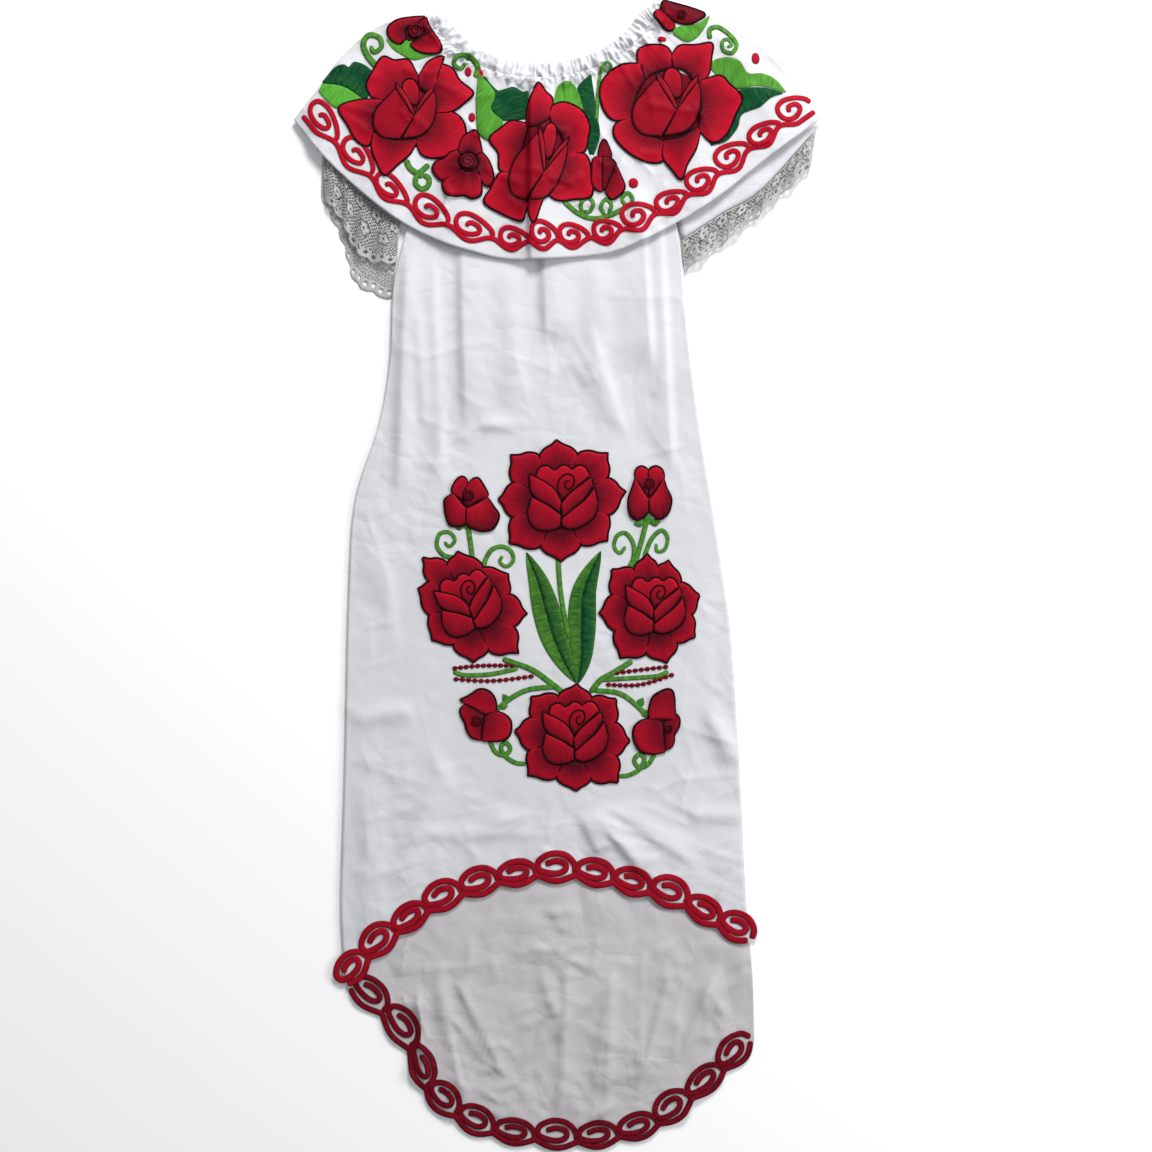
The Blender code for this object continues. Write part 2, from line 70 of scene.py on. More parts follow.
# Cloth sizes, as in the solids.
WALL = 0.0012
GAP = 0.0003
SEAM_GAP = 0.0011
LAYER = WALL + GAP
BAND_WIDTH = 0.017
SLEEVE_SHARE = 0.10
RAMP_LOW_Y = 0.215
RAMP_HIGH_Y = 0.275
RAMP_LEAD = 0.045
CURVE_STEPS = 12
END_FADE = 0.15

# The edges of the laid dress, each from its left or upper end.
NECK = ((-0.134, 0.592), (-0.118, 0.585), (-0.099, 0.566), (-0.077, 0.550), (-0.045, 0.540),
        (-0.005, 0.538), (0.038, 0.549), (0.068, 0.568), (0.088, 0.592), (0.107, 0.603))
LEFT_SIDE = ((-0.140, 0.437), (-0.162, 0.352), (-0.173, 0.300), (-0.176, 0.231), (-0.188, 0.160),
             (-0.213, 0.080), (-0.220, -0.022), (-0.224, -0.200), (-0.228, -0.350), (-0.222, -0.432))
RIGHT_SIDE = ((0.111, 0.437), (0.127, 0.352), (0.132, 0.290), (0.138, 0.231), (0.150, 0.145),
              (0.164, 0.059), (0.181, -0.060), (0.191, -0.214), (0.197, -0.335), (0.202, -0.385))
FRONT_HEM = ((-0.222, -0.432), (-0.184, -0.392), (-0.126, -0.350), (-0.060, -0.325), (0.003, -0.317),
             (0.060, -0.326), (0.124, -0.346), (0.170, -0.371), (0.202, -0.385))
BACK_HEM = ((-0.221, -0.431), (-0.186, -0.462), (-0.158, -0.500), (-0.138, -0.545), (-0.090, -0.581),
            (-0.030, -0.595), (0.040, -0.597), (0.105, -0.580), (0.150, -0.545), (0.190, -0.508),
            (0.206, -0.486))
BACK_SIDE = (*RIGHT_SIDE[:-1], (0.204, -0.420), BACK_HEM[-1])
RUFFLE_LEFT = ((-0.182, 0.579), (-0.224, 0.547), (-0.252, 0.510), (-0.277, 0.478))
RUFFLE_RIGHT = ((0.130, 0.5965), (0.156, 0.588), (0.194, 0.568), (0.226, 0.543), (0.252, 0.511),
                (0.277, 0.480))
RUFFLE_HEM = ((-0.277, 0.478), (-0.240, 0.434), (-0.186, 0.386), (-0.134, 0.355), (-0.080, 0.337),
              (-0.040, 0.331), (0.020, 0.334), (0.060, 0.340), (0.110, 0.362), (0.165, 0.395),
              (0.218, 0.437), (0.277, 0.480))
LEFT_CUFF = ((-0.246, 0.453), (-0.209, 0.412), (-0.165, 0.372))
RIGHT_CUFF = ((0.270, 0.468), (0.212, 0.405), (0.172, 0.381), (0.129, 0.353))
LEFT_LACE_FRONT = ((-0.246, 0.398), (-0.226, 0.372), (-0.214, 0.345), (-0.196, 0.330), (-0.1690, 0.328))
LEFT_LACE_BACK = ((-0.250, 0.402), (-0.226, 0.352), (-0.214, 0.311), (-0.196, 0.298), (-0.1750, 0.290))
RIGHT_LACE_FRONT = ((0.262, 0.424), (0.240, 0.404), (0.212, 0.379), (0.180, 0.353), (0.1315, 0.318))
RIGHT_LACE_BACK = ((0.264, 0.430), (0.240, 0.410), (0.212, 0.386), (0.180, 0.360), (0.1315, 0.325))

HEM_SCALLOPS = 12
HEM_SCALLOP_DEPTH = 0.007
SCALLOP_MEAN = 0.6
PLEAT_FULL_Y = 0.290
PLEAT_HALF_Y = 0.360
PLEAT_NECK_Y = 0.480
PLEAT_NECK_RUN = 0.060
HEM_PRESS = 0.06
RUFFLE_GATHERS = 14
RUFFLE_LIFT_NECK = 0.0045
RUFFLE_LIFT_HEM = 0.0088
RUFFLE_DROP = 0.0050
RUFFLE_GATHER_RISE = 0.0022
RUFFLE_GATHER_END = 0.45
RUFFLE_GATHER_START = 0.08
RUFFLE_WAVE_RISE = 0.0035
RUFFLE_WAVE_START = 0.35
RUFFLE_WAVE_PHASE = 0.8
RUFFLE_LIFT_RUN = 0.5
SHOULDER_CLEAR = 0.004
SHOULDER_RUN = 0.020
FOLD_EDGE = 0.01
BACK_RUFFLE_INSET = 0.014
BOUQUET_X = 0.003
BOUQUET_Y = -0.045
BOUQUET_HALF_WIDTH = 0.165
BOUQUET_HALF_DEPTH = 0.200
BOUQUET_EDGE = 0.12
LACE_WAVES = 4
LACE_WAVE_RISE = 0.006
LACE_WAVE_RUN = 0.6

# Looks that are finer than the solids.
# How much of the creases is left on the front's tight stitches.
TIGHT_SHARE = 0.45
# Where the back's inside starts to show, below the front hem.
BACK_SHOW = 0.004
BACK_SHOW_RUN = 0.015
BACK_FOLD_Y = -0.405
BACK_FOLD_RUN = 0.030
BACK_RUMPLE = 0.0024
FRONT_RUMPLE = 0.0017
CREASE_RISE = 0.0013
BACK_CRISP = 1.7
RUFFLE_RUMPLE = 0.0012
RUFFLE_CRISP = 2.2
BAND_GATHERS = 54
BAND_GATHER_RISE = 0.0018
TIGHT_END = 0.40
RUFFLE_TIGHT = 0.6
BAND_OVERLAP = 0.0020
SEAM_DIVE = 0.0012
RUFFLE_DIVE_RUN = 0.013
BAND_DIVE_RUN = 0.12
SEAM_STEP = 0.0010
SEAM_RUN = 0.06
SLEEVE_CREASE = 0.0006
SLEEVE_OVER = 0.55
SLEEVE_WALL = 0.9
LACE_WALL = 0.0006
LACE_SCALLOPS = 7
LACE_SCALLOP_DEPTH = 0.003
LACE_PINCH = 0.0012
LACE_PINCHES = 11
NET_PITCH = 0.0036
FLOWER_PITCH = 0.022
FLOWER_REACH = 0.0062
FLOWER_RING = 0.0020
FLOWER_EYE = 0.0014
EYELET_PITCH = 0.0085
EYELET = 0.0021
EYELET_IN = 2.6
EYELET_BAND = 1.9
FLOWER_PETALS = 2.5
FLOWER_WAIST = 0.62
# Rows of lace flowers: their place down the frill and their shift along it, as shares.
FLOWER_ROWS = ((0.22, 0.0), (0.56, 0.5))
# The closed edges of a frill, as shares of its depth and width.
LACE_TOP = 0.05
LACE_FOOT = 0.96
LACE_SIDE = 0.012
# Puckers along the elastic.
PUCKER_SEED = 12
PUCKER_IN = 0.013
PUCKER_PITCH = 0.0068
PUCKER_RISE = 0.0030
PUCKER_TURN = 0.75
PUCKER_SPREAD = 0.009
PUCKER_REACH = (0.004, 0.010)
PUCKER_WIDTH = (0.0018, 0.0036)
# Small creases strewn over a box (left, right, low, high): their count, the box, their size and their seed.
BACK_STREWN = ((110, (-0.20, 0.20, -0.58, -0.33), 0.032, 4), (36, (-0.12, 0.07, -0.575, -0.52), 0.022, 6))
FRONT_STREWN = ((150, (-0.22, 0.20, -0.40, 0.30), 0.034, 9), (30, (-0.10, 0.14, -0.33, -0.22), 0.030, 10))
RUFFLE_STREWN = ((90, (-0.27, 0.27, 0.34, 0.57), 0.026, 21),)
# Soft rumpling all over a cloth: the size of its waves, their count and their seed.
BACK_WAVES = (0.06, 9, 4)
FRONT_WAVES = (0.07, 11, 9)
RUFFLE_WAVES = (0.05, 8, 21)
SLEEVE_WAVES = (0.04, 6, 5)

# Grid cells across and along each cloth.
FRONT_GRID = (148, 322)
BACK_GRID = (130, 290)
FRONT_RUFFLE_GRID = (400, 90)
BACK_RUFFLE_GRID = (70, 18)
BAND_GRID = (400, 10)
SLEEVE_GRID = (64, 44)
LACE_GRID = (110, 60)

# A fold is a ridge along a line. Its lean makes one side steep: above 0, the side to the right as it runs.
Fold = namedtuple("Fold", "x0 y0 x1 y1 half_width height lean", defaults=(0.0,))
# Each row has both ends of the line, the half width and the height in millimetres, then the lean as a share.
FRONT_FOLDS = (
    (-157, 345, -166, 100, 11, 5.5, 0.3), (-146, 275, -140, 160, 7, 2.5),
    (-132, 330, -122, 95, 9, 3.2, -0.3), (-102, 400, -96, 170, 20, 5.2, 0.7), (-55, 330, -44, 180, 14, 3),
    (-14, 360, -12, 255, 22, 5, 0.75), (38, 340, 46, 170, 14, 3), (88, 370, 96, 230, 20, 5.8, -0.75),
    (106, 370, 119, 120, 11, 4.8, -0.6), (-78, 158, -16, 150, 8, 3.8, 0.2),
    (14, 226, 34, 202, 11, 2.6, 0.3), (36, 252, 68, 150, 9, 2.6, -0.4), (136, 30, 166, -20, 10, 3),
    (-212, -150, -150, -140, 10, 3.5), (-196, 20, -150, -80, 13, 3), (140, -120, 188, -195, 10, 4.5),
    (120, -80, 176, -82, 9, 3), (140, -250, 190, -252, 9, 3), (16, -228, -70, -262, 10, 4.5, -0.4),
    (18, -230, 44, -290, 10, 5, 0.4), (24, -230, 92, -312, 10, 4.5, 0.4),
    (34, -226, 140, -300, 11, 3.5, 0.4), (-150, -270, -20, -270, 8, 2), (-110, -180, -168, -320, 14, 3.5),
    (-200, -220, -190, -380, 14, 3),
)
BACK_FOLDS = (
    (-147, -440, -140, -530, 10, 5.5, 0.4), (-132, -390, -100, -545, 10, 4.8, -0.5),
    (-105, -430, -62, -515, 8, 4, 0.5), (-40, -360, 0, -470, 12, 4.5, 0.5), (8, -400, 2, -560, 9, 4.2, 0.6),
    (60, -380, 52, -550, 11, 4.5, -0.5), (120, -400, 90, -520, 10, 4, 0.5),
    (172, -400, 130, -500, 12, 4.5, 0.4), (60, -420, -30, -500, 8, 2.8, 0.4),
)
RUFFLE_FOLDS = (
    (-27, 520, -28, 330, 13, 9.5, 0.8), (83, 400, 82, 355, 8, 4), (-215, 540, -262, 470, 12, 3),
    (180, 560, 235, 470, 14, 3),
)
# Fine creases of the front, from the top down, and of the back's visible inside.
FRONT_CREASES = (
    (-150, 140, -118, 98, 4, 1), (18, 250, 42, 200, 10, 1.8), (-46, 236, -30, 176, 6, 1),
    (126, 120, 136, 62, 5, 1.2), (-200, 62, -176, -10, 5, 1.3), (-214, -36, -176, -52, 4, 0.9),
    (-208, -98, -168, -86, 4, 1), (148, -30, 180, -60, 4, 1.1), (152, -108, 188, -134, 4, 1),
    (134, -160, 186, -176, 5, 1.2), (130, -214, 192, -208, 4, 1), (150, -286, 194, -300, 5, 1.2),
    (-214, -196, -140, -218, 5, 1.1), (-206, -258, -128, -236, 4, 0.9), (-208, -321, -150, -300, 5, 1.1),
    (-180, -344, -140, -318, 4, 0.9), (8, -256, -33, -289, 4, 1.4), (-33, -256, -74, -274, 4, 1.1),
    (35, -256, 49, -274, 3, 1), (40, -262, 79, -289, 4, 1.3), (55, -259, 110, -281, 4, 1.2),
    (90, -240, 138, -262, 4, 1), (-100, -256, -82, -312, 5, 1.1), (-48, -240, -110, -250, 4, 0.9),
    (-6, -236, -12, -304, 5, 1.2), (66, -286, 120, -330, 5, 1.1), (-150, -120, -128, -196, 5, 0.9),
    (136, -90, 128, -150, 5, 0.9),
)
BACK_CREASES = (
    (-148, -445, -138, -486, 4, 1.4, 0.4), (-124, -404, -113, -462, 5, 1.3),
    (-113, -462, -74, -510, 5, 1.4), (2, -439, -21, -486, 4, 1.2), (88, -400, 85, -560, 4, 1),
    (52, -439, 38, -545, 5, 1.2), (-33, -439, -74, -483, 4, 1.2), (138, -421, 82, -421, 4, 1),
    (2, -398, 43, -415, 4, 1.3), (114, -386, 130, -410, 4, 1), (-139, -412, -63, -409, 4, 1.2),
    (-63, -563, -39, -539, 4, 1.3), (-39, -539, -15, -569, 4, 1.2), (2, -539, 26, -566, 4, 1.3),
    (-7, -350, 7, -372, 4, 1.4), (22, -350, 8, -374, 4, 1.2), (108, -409, 123, -445, 4, 1),
    (105, -489, 128, -500, 3, 0.9), (150, -440, 176, -486, 5, 1.2), (-90, -372, -98, -440, 5, 1),
    (-160, -452, -128, -440, 4, 0.9), (20, -470, 70, -500, 4, 1),
)

# Cloth: roughness, sheen and gloss, thread and crumple scales per metre, and bump depths in metres.
MATT = 0.9
COTTON_SHEEN = 0.05
COTTON_GLOSS = 0.15
SLUBS = ((60.0, 900.0, 60.0), (900.0, 60.0, 60.0))
SLUB_STRENGTH = 0.25
SLUB_DEPTH = 0.0002
CLOUD_SCALE = 9.0
CLOUD_DEPTH = 0.012
# Each size of crumple: its stretch, its scale, the scale and bend of the patches it stands in, and its depth.
CRUMPLES = (((1.0, 0.62, 1.0), 21.0, 6.0, 0.0, 0.0062), ((0.7, 1.0, 1.0), 46.0, 8.0, 0.6, 0.0032))
WORN_FROM = 0.42
WORN_TO = 0.60
LACE_SHEEN = 0.1
LACE_PATCHES = 60.0
LACE_LOW = 0.80
LACE_TWIST = 700.0
LACE_YARN_DEPTH = 0.0003
WHITE_CREASE = 0.5
INSIDE_CREASE = 0.7
# WHITE_SHADE and INSIDE_SHADE are painted shade: each cotton darkens to them in the hollows of its soft bump.
WHITE = (0.61, 0.612, 0.638)
WHITE_SHADE = (0.53, 0.53, 0.553)
# The inside is a darker copy of the same white cotton: painted shade on the back panel and back casing.
SHADED_INSIDE = (0.50, 0.485, 0.495)
INSIDE_SHADE = (0.43, 0.41, 0.42)
# The lace yarn is painted grey, darker than the white cotton: painted shade for the dark seen through the
# lace.
LACE_SHADED_YARN = (0.43, 0.42, 0.415)

# Satin thread: its gloss, its scales on the stitches, and its colours from the darkest shade up.
SATIN_ROUGHNESS = 0.55
SATIN_GLOSS = 0.06
THREAD_SCALES = ((1500.0, 70.0, 1.0), (260.0, 60.0, 1.0))
THREAD_DEPTH = 0.0004
THREAD_SHIFT = 0.37
RED_STREAK = 0.24
RED_SHADES = ((0.0, (0.009, 0.0006, 0.002)), (0.20, (0.038, 0.0012, 0.005)), (0.42, (0.12, 0.0020, 0.009)),
              (0.70, (0.28, 0.0030, 0.013)), (1.0, (0.45, 0.0042, 0.020)))
GREEN_STREAK = 0.58
GREEN_SHADES = ((0.0, (0.003, 0.014, 0.004)), (0.22, (0.001, 0.055, 0.022)), (0.46, (0.030, 0.098, 0.014)),
                (0.66, (0.060, 0.19, 0.024)), (1.0, (0.085, 0.36, 0.035)))

# Satin stitches, in metres. Shades run from 0, nearly black, to 1.
DOWN = Vector((0.0, 0.0, -1.0))
SINK = 0.0003
CREST_STEPS = np.array(((0.0, 0.0), (0.0012, 0.0), (-0.0012, 0.0), (0.0, 0.0012), (0.0, -0.0012)))
EDGE = 0.0003
EDGE_SHARE = 0.55
PETAL_RISE = 0.0011
INNER_LIFT = 0.0006
LIFT_STEP = 0.00016
CORD_STEP = 0.0018
CORD_RISE = 0.20
TAPER = 0.35
CORD_SIDES = 6
OUTLINE = 0.0025
OUTLINE_STEP = 0.0021
OUTLINE_RISE = 0.00095
EYE_LINE = 0.0015
EYE_STEP = 0.0012
EYE_LIFT = 0.0007
ROSE_LIFT = 0.0005
BLOOM_LIFT = 0.0010
GREEN_RISE = 0.0008
RUFFLE_CELLS = (30, 16)
# Shades from a petal's foot to its tip, and a stem's shade at its side with the rise of its painted highlight
# to the middle.
OUTER_SHADES = (0.18, 0.80)
RUFFLE_SHADES = (0.34, 0.95)
STEM_SHADE_AND_HIGHLIGHT = (0.48, 0.20)
# Dark discs under the petals, and an open rose's heart, as shares of the flower's half size.
ROSE_GROUND = 0.66
ROSE_HEART = 0.45
BLOOM_GROUND = 0.42
RUFFLE_GROUND = 0.60
EYE_TURNS = 1.9
EYE_SHADE = 0.42
LEAF_RIB = 0.0014
CORD_END = 0.35

# How the side of a petal runs from its notch to its tip: shares of the turn and of the reach.
PETAL_SIDE = ((0.0, 0.0), (0.07, 0.34), (0.40, 0.60), (0.76, 0.75))
NOTCH = 0.69

# The tips of an open rose, as turns in degrees and reaches in millimetres.
OpenRose = namedtuple("OpenRose", "name x y size turn tips")
OPEN_ROSES = (
    OpenRose("rose_top", 0.003, 0.078, 0.064, 0.0,
             (9, 69, 46, 71, 94, 65, 137, 72, 178, 66, 219, 70, 270, 63, 320, 64)),
    OpenRose("rose_left", -0.094, -0.032, 0.058, 0.30,
             (-7, 62, 39, 54, 101, 59, 133, 71, 160, 56, 223, 52, 275, 59, 317, 72)),
    OpenRose("rose_right", 0.100, -0.035, 0.056, 0.0,
             (17, 51, 73, 54, 96, 59, 136, 61, 184, 57, 236, 62, 284, 58, 326, 53)),
    OpenRose("rose_bottom", 0.016, -0.168, 0.060, 0.05,
             (-5, 60, 41, 60, 86, 55, 137, 61, 175, 62, 221, 63, 273, 58, 314, 68)),
)
# The petals at a rose's heart: base line, tip line and their shades. Here and below, a line is its points' x
# and y in turn, in hundredths of the flower's half size.
OPEN_HEART = (
    ((-6, 8, 0, 4, 6, 8),
     (-42, 40, -35, 56, -21, 59, -11, 52, 2, 60, 13, 58, 18, 53, 29, 60, 41, 56, 48, 42), 0.40, 0.85),
    ((-48, 8, -22, -5, 0, -22), (-55, -16, -50, -36, -36, -47, -15, -47, 0, -40), 0.75, 0.42),
    ((56, 24, 39, 3, 19, -13, 2, -28), (61, -2, 55, -24, 35, -40, 16, -45, 1, -39), 0.80, 0.45),
    ((-52, 46, -27, 33, -10, 20, 0, 0), (-50, 18, -39, 5, -19, -6, 0, -18), 0.85, 0.42),
    ((50, 40, 28, 24, 12, 11, 1, -4), (53, 27, 39, 6, 19, -12, 2, -26), 0.80, 0.40),
)
EYE = (1, 8, -5, 20, -3, 35, 8, 45, 20, 42, 22, 30, 14, 20, 7, 25, 9, 34, 15, 33)
TALL_BUD = (
    ((5, 22, 13, 15, 20, 22), (-8, 44, -6, 56, 2, 62, 12, 60, 19, 50, 20, 36), 0.45, 0.85),
    ((-20, 56, 0, 32, 14, 0), (-17, 40, -2, 18, 12, -4), 0.80, 0.50),
    ((48, 52, 30, 32, 14, 0), (45, 38, 28, 18, 12, -4), 0.80, 0.50),
    ((-17, 40, -2, 18, 13, -4), (-20, 44, -40, 24, -56, 4, -58, -22, -42, -40, -11, -43), 0.66, 0.62),
    ((45, 38, 28, 18, 13, -4), (48, 38, 51, 14, 45, -15, 26, -36, -9, -43), 0.70, 0.58),
)
# A large rose of the ruffle: its petals' base and tip lines, and its bud's width, height, drop and turn.
RuffleRose = namedtuple("RuffleRose", "name x y size bud petals")
RUFFLE_ROSES = (
    RuffleRose("ruffle_rose_left", -0.158, 0.483, 0.060, (1.0, 1.0, 0.0, 0.0), (
        ((-24, 17, -12, 38, 6, 47, 20, 53),
         (-62, 30, -71, 50, -60, 76, -43, 101, -22, 95, 2, 96, 14, 77, 21, 62)),
        ((-57, -26, -57, -2, -36, 22),
         (-60, -34, -68, -55, -88, -46, -103, -20, -119, 11, -85, 25, -44, 26)),
        ((46, 1, 37, -20, 16, -43), (52, 2, 80, 4, 99, -14, 102, -41, 85, -65, 55, -76, 27, -71, 15, -44)),
        ((17, -43, -24, -44, -54, -29),
         (17, -46, 6, -68, -16, -88, -39, -107, -53, -83, -62, -58, -58, -32)),
        ((40, 47, 46, 29, 48, 4), (58, 90, 79, 81, 92, 60, 116, 38, 100, 20, 79, 6, 50, 3)),
        ((20, 50, 31, 41, 40, 38), (21, 66, 37, 92, 63, 102, 58, 83, 49, 54)))),
    RuffleRose("ruffle_rose_centre", -0.020, 0.447, 0.054, (0.90, 1.48, -0.40, -0.24),
               (
        ((-22, 42, -2, 44, 18, 57), (-24, 49, -22, 82, -12, 107, 0, 127, 14, 110, 26, 98, 26, 77, 20, 60)),
        ((-22, 39, -32, -3, -39, -41),
         (-24, 49, -52, 55, -72, 42, -96, 19, -79, -8, -77, -38, -62, -47, -40, -47)),
        ((25, 49, 43, 27, 53, -10), (21, 64, 28, 84, 53, 90, 83, 75, 98, 47, 96, 22, 88, -5, 56, -14)),
        ((53, -16, 43, -43, 16, -68),
         (55, -12, 78, -8, 93, -14, 101, -40, 103, -90, 68, -98, 38, -101, 18, -88, 14, -68)),
        ((-44, -46, -44, -78, -22, -104),
         (-60, -46, -77, -48, -94, -78, -106, -104, -72, -126, -34, -140, -26, -120, -19, -106)),
        ((-24, -103, -7, -88, 15, -66), (-21, -108, -19, -128, -9, -145, 3, -113, 15, -80)))),
    RuffleRose("ruffle_rose_right", 0.116, 0.492, 0.062, (1.05, 1.10, -0.04, 0.0), (
        ((-40, 44, -25, 56, 4, 65), (-52, 70, -52, 94, -34, 103, -8, 102, 4, 90, 6, 72)),
        ((7, 65, 27, 59, 50, 33), (4, 84, 18, 102, 45, 103, 73, 106, 72, 82, 68, 56, 54, 39)),
        ((-40, 44, -55, 18, -61, -19),
         (-47, 72, -78, 70, -107, 50, -117, 24, -110, -6, -93, -24, -62, -21)),
        ((-61, -19, -43, -44, -6, -60),
         (-63, -20, -90, -31, -92, -52, -72, -76, -43, -93, -12, -94, -6, -62)),
        ((51, 32, 54, 0, 50, -38), (53, 42, 86, 51, 103, 36, 123, 13, 112, -17, 97, -49, 74, -62, 52, -42)),
        ((-8, -58, 21, -52, 50, -36), (-8, -62, -10, -87, 5, -108, 21, -125, 31, -99, 46, -72, 53, -42)))),
)
# A small flower: its eye's place and size, its petals' base and tip lines with their shades, and whether it
# stands for a solid of its name.
Bloom = namedtuple("Bloom", "name x y size eye petals node")
BODY_BUDS = (
    Bloom("bud_upper_left", -0.091, 0.076, 0.030, (-8, 30, 20), (
        ((-32, 14, -28, 36, -12, 64), (-64, 36, -68, 54, -52, 82, -34, 95, -18, 87, -12, 66), 0.5, 0.8),
        ((-13, 62, -26, 26, -16, -12, 20, 8, 56, 24),
         (-11, 70, 6, 86, 24, 90, 37, 74, 50, 52, 59, 34, 57, 24), 0.35, 0.8),
        ((-62, 36, -42, 14, -18, -16),
         (-66, 34, -92, 16, -94, 0, -90, -34, -76, -74, -48, -80, -24, -74, -18, -60), 0.85, 0.4),
        ((-18, -16, 8, -4, 56, 22),
         (-18, -60, -12, -78, 12, -90, 40, -97, 72, -91, 92, -64, 97, -38, 80, -12, 58, 20), 0.85, 0.35)),
          True),
    Bloom("bud_upper_right", 0.096, 0.088, 0.030, (0, 32, 21), (
        ((-2, -22, -24, 12, -47, 48), (-4, 74, -14, 86, -30, 91, -44, 83, -51, 68, -49, 50), 0.4, 0.85),
        ((-2, -22, 24, 12, 48, 44), (-4, 74, 6, 86, 22, 91, 38, 85, 48, 72, 52, 48), 0.4, 0.85),
        ((-47, 48, -24, 10, -2, -24),
         (-50, 48, -60, 18, -72, -16, -75, -42, -70, -74, -58, -92, -42, -97, -20, -86, -2, -66),
         0.8, 0.35),
        ((48, 46, 24, 10, -2, -24),
         (50, 46, 60, 14, 73, -12, 77, -32, 69, -66, 52, -87, 36, -95, 18, -86, -2, -66), 0.8, 0.35)),
          True),
    Bloom("bud_lower_left", -0.076, -0.146, 0.029, (-33, -18, 21), (
        ((-74, 38, -33, 21, -2, 0, -9, -28, -14, -86),
         (-76, 36, -92, 21, -88, -2, -74, -30, -70, -49, -51, -80, -16, -90), 0.3, 0.75),
        ((-79, 45, -42, 26, 0, 3, 37, 14), (-93, 56, -60, 71, -23, 94, 9, 89, 30, 68, 39, 42, 38, 17),
         0.75, 0.5),
        ((35, 13, 0, 0, -9, -28, -14, -88),
         (38, 14, 65, 5, 88, -14, 94, -38, 90, -66, 72, -88, 40, -94, -12, -92), 0.4, 0.8)), True),
    Bloom("bud_lower_right", 0.103, -0.156, 0.031, (42, -12, 15), (
        ((64, 20, 34, 17, 24, 4, 28, -41, 31, -83),
         (68, 37, 79, 20, 77, -7, 62, -33, 60, -58, 50, -76, 33, -85), 0.3, 0.6),
        ((-23, 20, 18, 17, 66, 18),
         (-25, 24, -25, 54, -12, 93, 14, 112, 40, 121, 56, 113, 62, 88, 63, 58, 67, 22), 0.75, 0.45),
        ((-25, 19, 16, 16, 24, 2, 27, -41, 31, -86),
         (-27, 19, -52, 13, -74, -7, -79, -33, -71, -64, -52, -90, -12, -99, 30, -92), 0.35, 0.8)), True),
)
RUFFLE_BLOOMS = (
    Bloom("ruffle_bud_low_left", -0.094, 0.434, 0.031, (0, 0, 27), (
        ((-26, 22, 2, 32, 32, 17), (-34, 34, -20, 78, 2, 96, 26, 104, 38, 74, 48, 28), 0.3, 0.75),
        ((-26, -26, -33, 0, -26, 22),
         (-46, -52, -85, -66, -107, -52, -121, -26, -111, -4, -81, 9, -60, 30, -34, 36), 0.3, 0.75),
        ((30, -26, 37, 0, 28, 19), (40, -52, 60, -84, 80, -76, 85, -43, 71, 0, 48, 30), 0.3, 0.7),
        ((-26, -28, 0, -37, 28, -28), (-48, -50, -83, -66, -86, -87, -72, -113, -42, -118, -12, -116,
                                       10, -127, 32, -122, 46, -104, 42, -50), 0.3, 0.85)), True),
    Bloom("ruffle_bud_low_right", 0.052, 0.4245, 0.026, (0, 0, 0), (
        ((-38, 55, -17, 50, 15, 53), (-38, 64, -30, 102, -13, 124, 3, 98, 17, 60), 0.5, 0.4),
        ((-21, 53, -21, -13, -21, -79), (-36, 55, -60, 42, -65, -13, -62, -56, -38, -83, -21, -83),
         0.6, 0.8),
        ((-21, 53, -21, -13, -18, -80), (4, 54, 30, 32, 31, 9, 5, -43, -10, -79), 0.5, 0.3),
        ((32, 21, 5, -43, -9, -81), (34, 19, 54, -25, 69, -66, 55, -94, 23, -118, 4, -106, -9, -83),
         0.35, 0.75)), True),
    Bloom("ruffle_bloom_top_left", -0.151, 0.568, 0.026, (8, 12, 30), (
        ((-32, -23, -30, 23, 14, 41), (-57, -45, -88, -28, -106, 2, -101, 32, -64, 57, -5, 67, 46, 70),
         0.3, 0.75),
        ((14, 41, 44, 10, 60, -5), (48, 69, 64, 28, 86, -5), 0.3, 0.55),
        ((-9, -41, 23, -18, 60, 5), (-13, -46, 14, -69, 55, -81, 96, -79, 113, -64, 104, -32, 86, -5),
         0.35, 0.9)), False),
    Bloom("ruffle_bloom_top_right", 0.1265, 0.587, 0.0195, (16, 6, 26), (
        ((-94, 31, -42, -16, 10, -44), (-96, 57, -78, 79, -10, 63, 73, 40, 143, 10, 104, -26, 57, -48),
         0.5, 0.35),
        ((-94, 30, -52, -10, -21, -48), (-115, 29, -134, 5, -115, -31, -68, -77, -42, -82, -21, -60),
         0.5, 0.85)), False),
)
# Leaves. A long leaf has a rib in millimetres, a half width in metres and a tone for each half.
LONG_LEAVES = (
    ("leaf_left", (19, -112, 6, -88, -5, -62, -15, -26, -21, -5, -33, 25), 0.0150, (0.55, 0.42)),
    ("leaf_right", (21, -113, 25, -88, 25, -62, 26, -26, 31, -5, 45, 26), 0.0150, (0.50, 0.30)),
)
